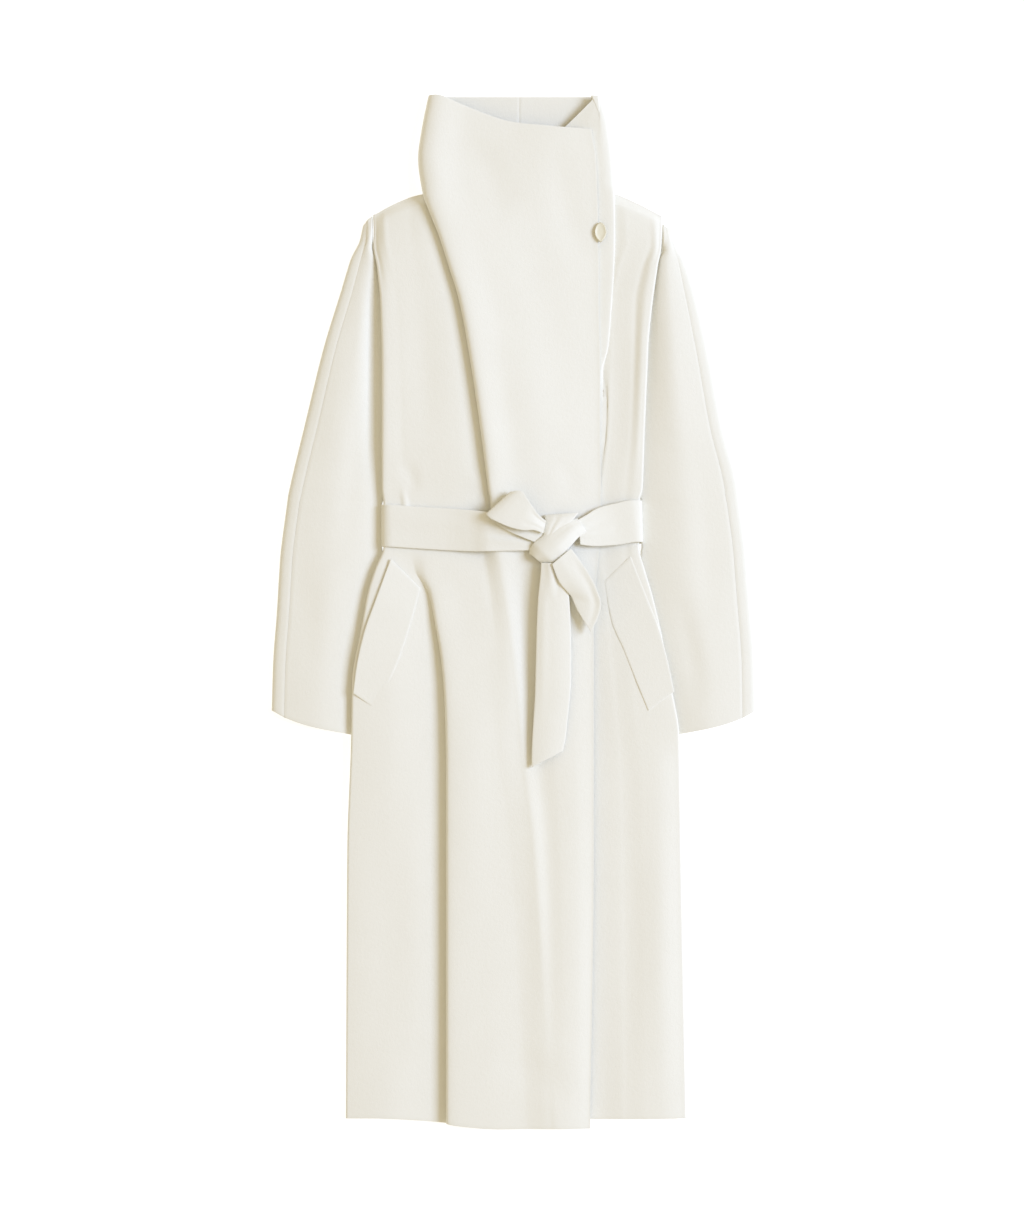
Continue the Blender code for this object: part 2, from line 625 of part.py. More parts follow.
def back_panel():
    """The back as a grid: flat on the surface, lifted where the belt runs under it."""
    y = np.array(BACK_ROWS, float)
    left = at(RIGHT_LINES, "side", y) + at(RIGHT_PANEL, "side_in", y) - BACK_INSET
    right = at(LEFT_LINES, "side", y) - at(LEFT_PANEL, "side_in", y) + BACK_INSET
    beside_belt = np.clip((np.abs(y - BELT_Y) - BELT_WIDTH / 2 - 1.5) / BELT_EASE, 0, 1)
    z = FLOOR_Z + (1 - beside_belt) * (BELT_CLOTH + SEAM)
    lines = []
    for share in (0, 0.25, 0.5, 0.75, 1):
        x = left + share * (right - left)
        top_y = NECK_Y - SEAM
        if share == 0:
            top_y = outline_y(SHOULDER_RIGHT, x[0])
        if share == 1:
            top_y = outline_y(SHOULDER_LEFT, x[0])
        lines.append(points(x, refit(y, SHOULDER_BACK_Y, NECK_Y, top_y), z))
    return across(lines, (1, 1, 1, 1))


def band(rows, steps, crown=0.0):
    """A strip of belt through its rows, as a grid whose columns run across it. crown lifts its middle."""
    columns = table("s x y z width turn tilt", *rows)
    s = columns["s"]
    fine = np.linspace(s[0], s[-1], steps)
    x, y, z, width, turn, tilt = (smooth(s, columns[name], fine) for name in BAND_COLUMNS)
    turn = np.radians(turn)
    tilt = np.radians(tilt)
    side = points(-np.sin(turn) * np.cos(tilt), np.cos(turn) * np.cos(tilt), np.sin(tilt))
    middle = points(x, y, z)
    lines = []
    for share in (-0.5, -0.25, 0, 0.25, 0.5):
        lift = crown * (1 - (2 * share) ** 2)
        lines.append(middle + side * (share * width)[:, None] + np.array([0, 0, lift]))
    return across(lines, (1, 1, 1, 1))


def welt(rows):
    """A pocket welt as a grid, from its opening edge to its sewn edge."""
    columns = table(WELT_COLUMNS, *rows)
    opening = points(columns["open_x"], columns["open_y"], columns["open_z"])
    sewn = points(columns["sewn_x"], columns["sewn_y"], columns["sewn_z"])
    return across([opening, (2 * opening + sewn) / 3, (opening + 2 * sewn) / 3, sewn], (1, 1, 1))


def knot_rings():
    """Rings round the knot's own axis: fullest in the middle, blunt at both ends."""
    turn = math.radians(KNOT_TURN)
    along = np.array([math.cos(turn), math.sin(turn), 0])
    side = np.array([-math.sin(turn), math.cos(turn), 0])
    angle = np.linspace(0, 2 * math.pi, 16, endpoint=False)
    rings = []
    for share in KNOT_STATIONS:
        size = (KNOT_FULLNESS - abs(share) ** 4) ** 0.5
        ring = side * (np.cos(angle) * size * KNOT_WIDTH / 2)[:, None]
        ring = ring + np.array([0, 0, 1]) * (np.sin(angle) * size * KNOT_HEIGHT / 2)[:, None]
        rings.append(np.array(KNOT_MIDDLE) + along * (share * KNOT_LENGTH / 2) + ring)
    return rings


def button_rings():
    """Rings of the oval button, from its flat underside to its domed top. Its lower end draws to a point."""
    angle = np.linspace(0, 2 * math.pi, 20, endpoint=False)
    narrowed = 1 - BUTTON_POINT * np.clip(-np.sin(angle), 0, 1) ** 2
    outline = points(np.cos(angle) * narrowed * BUTTON_WIDTH / 2, np.sin(angle) * BUTTON_LENGTH / 2, 0)
    rings = []
    for size, height in BUTTON_RINGS:
        rings.append(np.array(BUTTON_MIDDLE) + outline * size + np.array([0, 0, height * BUTTON_HEIGHT]))
    return rings


def wall(name, grids, thickness, material, weld=False):
    """One object from grids in millimetres, thickened to a wall about its middle surface."""
    mesh = bmesh.new()
    for grid in grids:
        count, width = grid.shape[:2]
        verts = [mesh.verts.new(point * MM) for point in grid.reshape(-1, 3)]
        for r in range(count - 1):
            for c in range(width - 1):
                k = r * width + c
                mesh.faces.new((verts[k], verts[k + 1], verts[k + width + 1], verts[k + width]))
    if weld:
        bmesh.ops.remove_doubles(mesh, verts=mesh.verts, dist=WELD)
    piece = linked(name, mesh, material)
    cloth = piece.modifiers.new("cloth", "SOLIDIFY")
    cloth.thickness = thickness * MM
    cloth.offset = 0
    cloth.use_rim = True


def closed_body(name, rings, material):
    """One closed object from a stack of rings, in millimetres, with its two ends capped."""
    mesh = bmesh.new()
    loops = [[mesh.verts.new(point * MM) for point in ring] for ring in rings]
    width = len(loops[0])
    for a, b in zip(loops, loops[1:]):
        for k in range(width):
            mesh.faces.new((a[k], a[(k + 1) % width], b[(k + 1) % width], b[k]))
    mesh.faces.new(loops[0])
    mesh.faces.new(loops[-1])
    bmesh.ops.recalc_face_normals(mesh, faces=mesh.faces)
    piece = linked(name, mesh, material)
    piece.data.set_sharp_from_angle(angle=math.radians(50))


def linked(name, mesh, material):
    """The mesh as a smooth-shaded object in the scene."""
    data = bpy.data.meshes.new(name)
    mesh.to_mesh(data)
    mesh.free()
    data.shade_smooth()
    piece = bpy.data.objects.new(name, data)
    bpy.context.scene.collection.objects.link(piece)
    piece.data.materials.append(material)
    return piece


def finish(name, color, roughness):
    """A plain Principled material."""
    material = bpy.data.materials.new(name)
    material.use_nodes = True
    shader = material.node_tree.nodes["Principled BSDF"]
    shader.inputs["Base Color"].default_value = (*color, 1)
    shader.inputs["Roughness"].default_value = roughness
    return material


def cloth_piece(name, grids, thickness=CLOTH, weld=False):
    """A cloth wall with its own wool material."""
    wall(name, grids, thickness, finish(name + "_wool", WOOL, 0.9), weld)


right_front = front(
    RIGHT_LINES,
    RIGHT_HEIGHTS,
    RIGHT_FOLD,
    RIGHT_PANEL,
    RIGHT_COLLAR_TOP,
    SHOULDER_RIGHT,
    RIGHT_HEM,
    1,
    CENTRE_BACK - SEAM / 2,
)
left_front = front(
    LEFT_LINES,
    LEFT_HEIGHTS,
    LEFT_FOLD,
    LEFT_PANEL,
    LEFT_COLLAR_TOP,
    SHOULDER_LEFT,
    LEFT_HEM,
    -1,
    CENTRE_BACK + SEAM / 2,
)
cloth_piece("front_right", right_front, weld=True)
cloth_piece("front_left", left_front, weld=True)
cloth_piece("back", (back_panel(),))
for side, columns, way in (("right", RIGHT_SLEEVE, 1), ("left", LEFT_SLEEVE, -1)):
    cloth_piece(f"sleeve_{side}_front", (sleeve_front(columns, way),))
    cloth_piece(f"sleeve_{side}_back", (sleeve_back(columns, way),))
cloth_piece("belt_band", (band(BELT_RUN, 40),), BELT_CLOTH)
cloth_piece("belt_loop", (band(LOOP_RUN, 20),), BELT_CLOTH)
cloth_piece("belt_long_end", (band(LONG_END, 12, BELT_CROWN),), BELT_CLOTH)
cloth_piece("belt_short_end", (band(SHORT_END, 10, BELT_CROWN),), BELT_CLOTH)
cloth_piece("pocket_welt_right", (welt(WELT_RIGHT),))
cloth_piece("pocket_welt_left", (welt(WELT_LEFT),))
closed_body("belt_knot", knot_rings(), finish("belt_knot_wool", WOOL, 0.9))
closed_body("button", button_rings(), finish("horn", HORN, 0.4))
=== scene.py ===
# %% [markdown]
# # A long wool wrap coat, laid flat
# The coat lies on its back on a white table, belted and buttoned, with its sleeves down. This lesson builds
# what is seen: thin shells of cloth on the forms of the coat's solids, a tied belt, a horn button, and the
# wool itself. The solids are loaded first and never changed. Each shell stands for one of them.

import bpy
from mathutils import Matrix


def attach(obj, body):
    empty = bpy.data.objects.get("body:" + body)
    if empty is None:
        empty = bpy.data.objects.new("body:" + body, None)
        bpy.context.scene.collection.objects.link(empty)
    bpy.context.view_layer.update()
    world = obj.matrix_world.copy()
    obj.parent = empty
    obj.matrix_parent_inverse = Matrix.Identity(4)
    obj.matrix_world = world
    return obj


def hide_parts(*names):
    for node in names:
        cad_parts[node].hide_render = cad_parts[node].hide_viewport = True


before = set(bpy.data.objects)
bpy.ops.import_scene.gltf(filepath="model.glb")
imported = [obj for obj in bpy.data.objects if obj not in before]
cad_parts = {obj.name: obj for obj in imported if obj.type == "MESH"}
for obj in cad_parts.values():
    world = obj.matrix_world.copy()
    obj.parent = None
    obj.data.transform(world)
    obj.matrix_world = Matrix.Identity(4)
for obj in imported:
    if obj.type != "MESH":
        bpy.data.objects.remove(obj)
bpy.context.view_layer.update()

# %% [markdown]
# ## Sizes
# Everything is worked out in millimetres, in the frame's own axes: +X towards the wearer's left, +Y up to the
# collar, +Z out of the table. The wool is double-faced: two thin cloths woven as one, about 2 mm thick. Its
# layers rest on each other, so the middle of the lowest one is half a cloth above the table.

# %% Sizes that everything else uses
import math

import bmesh
import bpy
import numpy as np

MM = 0.001
CLOTH = 2.2
BELT_CLOTH = 2.6
SEAM = 0.3
FLOOR_Z = CLOTH / 2
UPPER_Z = 3 * CLOTH / 2 + SEAM
COLLAR_Y = 700.0
NECK_Y = 569.0
CHEST_Y = 470.0
SKIRT_Y = -420.0
HEM_Y = -700.0
SHOULDER_ROLL = 18.0
CENTRE_BACK = 7.0
BELT_WIDTH = 57.0
BELT_Y = 118.0


def heights(*stretches):
    """Heights down the coat: each stretch is (from, to, how many), and together they are one array."""
    parts = [np.linspace(top, bottom, count, endpoint=False) for top, bottom, count in stretches]
    return np.append(np.concatenate(parts), stretches[-1][1])


COLLAR_ROWS = heights((700, 569, 34))
BODY_ROWS = heights((569, 535, 16), (535, 160, 74), (160, 70, 30), (70, -700, 136))
SLEEVE_ROWS = heights((540, 510, 14), (510, -140, 120))
print("rows down a front:", len(COLLAR_ROWS) + len(BODY_ROWS))

# %% [markdown]
# ## Tables
# A pattern cutter notes a coat as a few measures at each height. So does this lesson: a table has a row for
# each height where something changes, and a named column for each measure. A curve through a column gives the
# measure at any height between. The curve never overshoots its points, so an edge stays as straight as drawn.

# %% Tables and curves through them
def table(names, *rows):
    """Named columns from rows. Most tables run down the coat, and their first column is y."""
    columns = np.array(rows, float).T
    return dict(zip(names.split(), columns))


def between(t, start, end, gap, leaving, arriving):
    """A cubic from start to end over a gap, with the slopes at its two ends. t runs from 0 to 1."""
    first = (1 + 2 * t) * (1 - t) ** 2 * start + t * (1 - t) ** 2 * gap * leaving
    last = t**2 * (3 - 2 * t) * end + t**2 * (t - 1) * gap * arriving
    return first + last


def smooth(known_x, known_y, x):
    """A curve through the known points that never overshoots them. Each slope is the harmonic mean of those
    beside it, and between two points the curve is the cubic with those slopes."""
    x = np.clip(x, known_x.min(), known_x.max())
    order = np.argsort(known_x)
    known_x = known_x[order]
    known_y = known_y[order]
    gap = np.diff(known_x)
    slope = np.diff(known_y) / gap
    same_way = slope[:-1] * slope[1:] > 0
    total = np.where(same_way, slope[:-1] + slope[1:], 1)
    inside = np.where(same_way, 2 * slope[:-1] * slope[1:] / total, 0)
    tangent = np.concatenate([slope[:1], inside, slope[-1:]])
    k = np.clip(np.searchsorted(known_x, x) - 1, 0, len(gap) - 1)
    t = (x - known_x[k]) / gap[k]
    return between(t, known_y[k], known_y[k + 1], gap[k], tangent[k], tangent[k + 1])


def at(columns, name, y):
    """One column of a table at any heights y."""
    return smooth(columns["y"], columns[name], y)


def outline_y(outline, x):
    """The height of an outline, such as a hem, at one place across the coat."""
    return smooth(outline["x"], outline["y"], np.array([x], float))[0]


# %% [markdown]
# ## Lines into surfaces
# A panel is a function of two parameters. One runs down the coat, through the heights above. The other runs
# across, through a few lengthwise lines: the free edge, the fold, the pleat, the side. A smooth curve through
# those lines at every height makes the surface, all rows at once. Folds are half circles, so they stay round.

# %% From lengthwise lines to a grid
def points(x, y, z):
    """Rows of points from three arrays or numbers."""
    return np.stack(np.broadcast_arrays(x, y, z), axis=-1).astype(float)


def refit(y, start, end, new_end):
    """Heights y between start and end, stretched so that end falls on new_end. Beyond start they stay."""
    share = np.clip((y - start) / (end - start), 0, 1)
    return np.where(share > 0, start + share * (new_end - start), y)


def rise(y, top_y):
    """How far the cloth has risen, 0 to 1, at y below the shoulder seam at top_y: a quarter ellipse."""
    depth = np.clip((top_y - y) / SHOULDER_ROLL, 0, 1)
    return np.sqrt(1 - (1 - depth) ** 2)


FEWEST_STEPS = 3


def across(lines, spacing):
    """A grid of rows by columns, through lengthwise lines: a Catmull-Rom curve across each row, whose knots
    are the square root of the gaps. Each gap is cut into steps of about the spacing."""
    lines = np.stack(lines, axis=1)
    before = 2 * lines[:, :1] - lines[:, 1:2]
    after = 2 * lines[:, -1:] - lines[:, -2:-1]
    padded = np.concatenate([before, lines, after], axis=1)
    distance = np.linalg.norm(np.diff(padded, axis=1), axis=2)
    steps = np.maximum(np.ceil(distance[:, 1:-1].mean(axis=0) / spacing), FEWEST_STEPS).astype(int)
    gap = np.sqrt(distance + 1e-9)[..., None]
    slope = np.diff(padded, axis=1) / gap
    tangent = slope[:, :-1] * gap[:, 1:] + slope[:, 1:] * gap[:, :-1]
    tangent = tangent / (gap[:, :-1] + gap[:, 1:])
    k = np.repeat(np.arange(len(steps)), steps)
    t = np.concatenate([np.arange(count) / count for count in steps])[None, :, None]
    made = between(t, lines[:, k], lines[:, k + 1], gap[:, k + 1], tangent[:, k], tangent[:, k + 1])
    return np.concatenate([made, lines[:, -1:]], axis=1)


# Round an edge: how many radii inside it each line lies, and its share of the way down
FOLD_ROUND = ((1.3, 0), (0.3, 0.15), (0, 0.5), (0.3, 0.85), (1.3, 1))
SIDE_ROUND = ((2.6, 0), (0.8, 0.12), (0, 0.5), (0.8, 0.88))
VALLEY_BACK = 4.0  # how far the valley's line lies short of the fold's reach
SLOPE_ABOVE = 8.0  # where a plain slope starts, beyond the edge's place
SLOPE_WIDTH = 34.0


def overlap(y, x, top, radius, reach, valley, folded, way):
    """Seven lines round a fold: over its edge at x, under, and back into a valley. way is +1 where the upper
    layer lies towards +X. Where it isn't folded, the same lines run down a plain slope."""
    bottom = np.maximum(top - 2 * radius, FLOOR_Z)
    tucked = [(way * out * radius, top - drop * (top - bottom)) for out, drop in FOLD_ROUND]
    tucked.append((way * reach, (bottom + valley) / 2))
    tucked.append((way * (reach - VALLEY_BACK), valley))
    lines = []
    for k, (offset, height) in enumerate(tucked):
        share = k / (len(tucked) - 1)
        slope_x = way * (SLOPE_ABOVE - SLOPE_WIDTH * share)
        slope_z = top + (valley - top) * (3 * share**2 - 2 * share**3)
        line_x = x + folded * offset + (1 - folded) * slope_x
        lines.append(points(line_x, y, folded * height + (1 - folded) * slope_z))
    return lines


def side_roll(y, x, top, radius, seam_in, way):
    """Lines round a side edge at x, whose upper layer lies towards way, and down to the seam on the back."""
    bottom = np.maximum(top - 2 * radius, UPPER_Z)
    lines = [points(x + way * out * radius, y, top - drop * (top - bottom)) for out, drop in SIDE_ROUND]
    return lines + [points(x + way * seam_in, y, UPPER_Z)]


# %% [markdown]
# ## The coat's own measures
# The right front wraps over the left, so it is the wide one. Its tables hold where its lines run, how high
# they lie, how its drape folds over beside the neck, and how the chest and skirt fall beyond that fold. The
# left front mostly hides below: its fold shows as a narrow strip beside the wrap edge.

# %% Tables of the two fronts
# The right front, which wraps over the left. y; the wrap edge; the drape's fold edge; the side.
RIGHT_LINES = table(
    "y edge fold side",
    (700, 104, -115, -190),
    (655, 105, -124, -190),
    (615, 111, -129, -190),
    (569, 113, -123, -190),
    (535, 114, -111, -189),
    (510, 114, -101, -190),
    (470, 115, -88, -185),
    (420, 115, -73, -180),
    (333, 117, -57, -178),
    (230, 117, -42, -178),
    (168, 118, -34, -178),
    (148, 118, -31, -175.8),
    (88, 116, -27, -175.8),
    (58, 113, -24, -187),
    (25, 110, -19, -197),
    (-30, 108, -11, -207),
    (-90, 108, -4, -218),
    (-180, 108, 4, -220),
    (-320, 108, 20, -225),
    (-700, 103, 42, -227),
)

# Heights of the right front's upper layer: at the fold, between it and the wrap edge, and at that edge
RIGHT_HEIGHTS = table(
    "y fold near middle far edge",
    (700, 22, 19, 17, 18, 18.4),
    (628, 25, 20, 20, 21, 19),
    (569, 29, 24, 22, 21, 18),
    (510, 32, 28, 24, 20, 16.6),
    (398, 33, 27, 24, 20, 16.4),
    (240, 33, 27, 24, 20, 16),
    (148, 28, 24, 22, 19, 15),
    (90, 27, 23, 21, 19, 15),
    (40, 23, 19, 21, 21, 17.5),
    (-65, 21.5, 17.5, 21, 21, 18.5),
    (-200, 21.5, 18.5, 21, 21, 18.5),
    (-400, 22.5, 21, 22, 21, 18),
    (-700, 22, 22.5, 21.5, 19.5, 17),
)

# The roll at the drape's fold edge: its radius, how far the valley lies behind it, the valley's height, and
# how far the cloth is folded, from 1, a full overlap, to 0, a ridge
RIGHT_FOLD = table(
    "y radius reach valley folded",
    (700, 10.4, 0, 1.1, 1),
    (628, 11.9, 0, 1.1, 1),
    (583, 12.6, 0, 3, 1),
    (569, 11, 19, 3.6, 1),
    (535, 8, 19, 10, 1),
    (500, 5.6, 19, 16, 1),
    (240, 5.5, 19, 17.5, 1),
    (148, 4, 17, 16, 1),
    (88, 4, 15, 18, 0.2),
    (25, 5, 12, 21, 0.1),
    (-60, 5, 12, 22, 0),
    (-700, 5, 12, 20, 0),
)

# The right front's chest and skirt, beyond that fold. Heights: half-way to the skirt's pleat, at the pleat's
# top, in its valley, half-way on to the side, and at the side's roll. Among them: the pleat's place, and how
# far it is folded. Then the roll's radius, and how far in its seam lies
RIGHT_PANEL = table(
    "y inner pleat_x pleat valley pleated outer side side_radius side_in",
    (569, 3.6, -150, 3.6, 3.6, 0, 3.6, 3.6, 1.5, 5),
    (552, 14, -150, 13, 12.5, 0, 10, 8, 2, 5),
    (508, 20, -148, 19, 18.5, 0, 15.5, 12.5, 3, 6),
    (470, 21, -142, 21, 21, 0, 20, 18, 4, 13),
    (420, 21, -132, 21, 21.5, 0, 22, 22, 4.4, 14),
    (240, 21, -126, 21, 21, 0, 22, 22.5, 4.4, 14),
    (148, 18, -124, 17.5, 17.5, 0, 17.5, 17.5, 4, 14),
    (88, 18, -124, 17.5, 17.5, 0, 17.5, 17.5, 4, 14),
    (58, 20, -124, 20, 17, 0.2, 19, 19.5, 4.2, 16),
    (25, 21, -113, 22, 14, 0.7, 20, 20, 4.4, 16),
    (-15, 22, -106, 23, 12, 1, 20, 20, 4.3, 15),
    (-55, 22.5, -99, 23.2, 10.5, 1, 19, 19, 4.2, 14),
    (-105, 22.5, -94, 23.2, 9.5, 1, 18, 18, 4.1, 13),
    (-150, 23, -92, 23, 9, 1, 16.5, 16.5, 4, 12),
    (-215, 23, -91, 23, 9, 1, 15, 13.5, 4, 7),
    (-400, 22.5, -91, 23, 9, 1, 14, 12.5, 4, 6),
    (-700, 22, -91, 22, 7.5, 1, 13, 11, 3.4, 6),
)

# The left front, under the right. y; its own free edge, hidden; its fold edge; the side.
LEFT_LINES = table(
    "y edge fold side",
    (700, 112, 114, 200),
    (680, 92, 123, 200),
    (655, 66, 129, 200),
    (600, 5, 135, 200),
    (569, -20, 136, 200),
    (508, -60, 136, 199),
    (470, -75, 135, 194),
    (420, -84, 132, 187),
    (360, -88, 127, 181),
    (333, -88, 120, 180),
    (240, -88, 100, 176),
    (168, -88, 87, 173.5),
    (148, -88, 84, 169),
    (88, -88, 78, 169),
    (58, -88, 76, 176),
    (25, -88, 74, 186),
    (-30, -88, 72, 199),
    (-105, -88, 70, 213),
    (-165, -88, 70, 223),
    (-320, -88, 70, 226),
    (-700, -88, 70, 233),
)

LEFT_HEIGHTS = table(
    "y fold near middle far edge",
    (700, 15, 15, 15, 15, 15),
    (628, 16.4, 16, 14, 11, 9),
    (569, 14.6, 13, 10.5, 7.5, 6),
    (508, 14, 12, 9, 6, 4.5),
    (360, 13.6, 11, 8, 5, 4.5),
    (300, 13.4, 11.5, 9, 5.5, 4.5),
    (240, 13, 11.5, 10, 6.5, 5),
    (165, 11.5, 11, 10, 8, 7.5),
    (75, 11.5, 11, 10, 8, 7.5),
    (-30, 12.5, 11, 9, 6, 4.5),
    (-700, 12, 10, 8, 5, 4.5),
)

LEFT_FOLD = table(
    "y radius reach valley folded",
    (700, 6.9, 0, 1.1, 1),
    (628, 7.9, 0, 1.1, 1),
    (583, 7, 0, 2, 1),
    (569, 3.6, 12, 5, 1),
    (535, 1.7, 12, 9, 1),
    (500, 1.4, 12, 9.6, 1),
    (350, 1.4, 12, 9.6, 1),
    (300, 1.6, 12, 11, 0.4),
    (250, 2, 12, 12, 0),
    (165, 2, 12, 11.5, 0),
    (75, 2, 12, 11.5, 0),
    (-30, 2, 12, 11, 0),
    (-700, 2, 12, 10.5, 0),
)

LEFT_PANEL = table(
    "y inner pleat_x pleat valley pleated outer side side_radius side_in",
    (569, 3.6, 158, 3.6, 3.6, 0, 3.6, 3.6, 1.5, 5),
    (552, 9, 158, 10, 10, 0, 10, 8, 2, 5),
    (508, 10.5, 160, 12, 12.5, 0, 13.5, 12, 3, 6),
    (470, 10.5, 150, 12, 13.5, 0, 16.5, 16.5, 3.8, 13),
    (420, 10.5, 140, 11.5, 13.5, 0, 17, 17, 4, 13),
    (350, 11, 138, 12, 14, 0, 17, 17, 4, 13),
    (240, 12.5, 134, 13, 15, 0, 16.5, 16, 4, 13),
    (148, 11.5, 126, 12, 14, 0, 15, 15, 3.8, 13),
    (88, 11.5, 126, 12, 14, 0, 15, 15, 3.8, 13),
    (25, 11.5, 130, 12.5, 14.5, 0, 15.5, 15.5, 3.6, 14),
    (-30, 11.5, 134, 12.5, 14.5, 0, 15.5, 15.5, 3.4, 14),
    (-105, 11, 140, 12.5, 14.5, 0, 15.5, 15.5, 3.4, 13),
    (-150, 11, 144, 12.5, 14.5, 0, 15, 15, 3.4, 12),
    (-215, 11, 150, 12.5, 14.5, 0, 14, 11, 3.6, 7),
    (-700, 10, 155, 12, 13.5, 0, 13, 9.5, 3, 6),
)

# Tops and ends of the lines, where they don't run square across
RIGHT_COLLAR_TOP = table(
    "x y", (-115, 700), (-79, 692), (-52, 680), (-27, 667), (-4, 665), (53, 658), (104, 654)
)
LEFT_COLLAR_TOP = table("x y", (66, 655), (90, 678), (112, 699), (114, 700))
SHOULDER_RIGHT = table("x y", (-190, 539), (-158, 556), (-126, 567), (-100, 569))
SHOULDER_LEFT = table("x y", (135, 569), (165, 556), (200, 538))
RIGHT_HEM = table("x y", (-230, -687), (-100, -688), (-88, -694), (-50, -700), (110, -700))
LEFT_HEM = table("x y", (-100, -690), (235, -687))
CUFF = table("x y", (214, -168), (278, -155), (319, -140), (327, -134))
SLEEVE_TOP = table("x y", (190, 539), (197, 534), (205, 524), (215, 518))

# %% [markdown]
# ## Creases
# Brushed wool is heavy and soft, so it keeps few creases and no sharp ones. Each is placed one by one: a soft
# ridge or trough along a gently bowed line, round across and fading out at both ends. Cloth that lies on
# cloth moves with it, so one field lifts every layer at a place by the same amount. Near the table it fades
# to nothing, because the table holds the lowest layers flat.

# %% A field of soft ridges and troughs
# Where each starts and ends, how far it bows aside, half its width, and its height, below 0 for a trough
CREASES = table(
    "x y to_x to_y bow width height",
    (-20, 66, 0, -170, 5, 14, 1.5),
    (8, 40, 14, -260, -3, 16, -1.6),
    (-70, -20, -60, -500, 6, 26, 1.4),
    (-40, 420, 20, 200, 12, 26, 1.2),
    (20, 560, 60, 300, -12, 34, -1.4),
    (-60, 640, -20, 520, 14, 22, -1.3),
    (60, 640, 96, 470, -9, 20, -1.6),
    (-10, 500, 40, 180, 10, 30, 1.0),
    (-130, 420, -120, 230, 4, 22, -1.0),
    (-152, 168, -146, 120, 2, 4, 1.6),
    (-150, 205, -134, 160, 3, 10, -1.4),
    (-60, 190, -34, 150, 3, 12, 1.2),
    (66, 210, 80, 150, 3, 14, -1.0),
    (146, 160, 152, 380, 4, 16, -0.7),
    (166, 400, 172, 200, 3, 14, 0.6),
    (-240, 400, -262, 150, 12, 24, 1.4),
    (-215, 300, -248, 40, 10, 18, -1.3),
    (-193, 480, -192, 140, 2, 10, -6.0),
    (-290, 120, -268, -90, -6, 20, -1.0),
    (215, 420, 236, 200, -10, 22, 1.2),
    (250, 240, 262, -40, 6, 22, -1.2),
    (222, 20, 250, -130, 4, 14, -1.5),
    (-180, -240, -176, -660, 6, 28, -1.6),
    (-125, -180, -122, -640, -5, 20, 1.2),
    (40, -260, 30, -660, -8, 34, -1.2),
    (27, -170, 44, -540, 0, 14, 1.3),
    (160, -120, 150, -640, 9, 30, -2.0),
    (200, -260, 206, -660, -4, 20, 1.2),
    (-30, -610, 80, -655, 10, 26, -1.4),
)
FLAT_BELOW = 5.0  # heights between which the creases come in
FREE_ABOVE = 14.0


def creased(grid):
    """The grid with every point lifted by the creases over its place. A crease's lift is its height, times a
    bell curve of the distance across its line, times a half sine along it. No point sinks into the table."""
    x = grid[..., 0, None]
    y = grid[..., 1, None]
    run_x = CREASES["to_x"] - CREASES["x"]
    run_y = CREASES["to_y"] - CREASES["y"]
    length = np.hypot(run_x, run_y)
    along = ((x - CREASES["x"]) * run_x + (y - CREASES["y"]) * run_y) / length**2
    off = ((y - CREASES["y"]) * run_x - (x - CREASES["x"]) * run_y) / length
    end = np.clip(along, 0, 1)
    off = off - CREASES["bow"] * 4 * end * (1 - end)
    lift = (CREASES["height"] * np.sin(math.pi * end) * np.exp(-((off / CREASES["width"]) ** 2))).sum(axis=-1)
    free = np.clip((grid[..., 2] - FLAT_BELOW) / (FREE_ABOVE - FLAT_BELOW), 0, 1)
    lifted = grid.copy()
    lifted[..., 2] = np.maximum(lifted[..., 2] + lift * free * free * (3 - 2 * free), FLOOR_Z)
    return lifted


print("creases:", len(CREASES["height"]))

# %% [markdown]
# ## A panel's mesh
# A shell of cloth is one sheet of squares. Its corners go in as one array. Sheets that share a line are
# merged there, so the cloth runs on without a break. Solidify then gives it the thickness of the wool, half
# to each side, and a small bevel rounds the cut edges, as felled edges of double-faced wool are.

# %% Shells of cloth from grids
pieces = {}
MERGE = 0.02 * MM
EDGE_ROUND = 0.7


def grid_faces(rows, columns, first):
    """The four corner numbers of every square of a grid whose first corner has the number first."""
    corner = first + (np.arange(rows - 1)[:, None] * columns + np.arange(columns - 1)).ravel()
    return np.stack([corner, corner + 1, corner + columns + 1, corner + columns], axis=1)


def add(name, data):
    """A new object with this data, in the scene."""
    made = bpy.data.objects.new(name, data)
    bpy.context.scene.collection.objects.link(made)
    return made


def mesh_of(name, vertices, faces):
    """A mesh object from arrays of corners, in millimetres, and of four-cornered faces."""
    data = bpy.data.meshes.new(name)
    data.vertices.add(len(vertices))
    data.vertices.foreach_set("co", (vertices * MM).astype(np.float32).ravel())
    data.loops.add(faces.size)
    data.loops.foreach_set("vertex_index", faces.astype(np.int32).ravel())
    data.polygons.add(len(faces))
    data.polygons.foreach_set("loop_start", np.arange(0, faces.size, faces.shape[1], dtype=np.int32))
    data.update(calc_edges=True)
    data.validate()
    return add(name, data)


def tidy_mesh(piece):
    """Merges the piece's doubled points, turns its faces the same way, and shades it smooth."""
    mesh = bmesh.new()
    mesh.from_mesh(piece.data)
    bmesh.ops.remove_doubles(mesh, verts=mesh.verts, dist=MERGE)
    bmesh.ops.recalc_face_normals(mesh, faces=mesh.faces)
    mesh.to_mesh(piece.data)
    mesh.free()
    piece.data.shade_smooth()


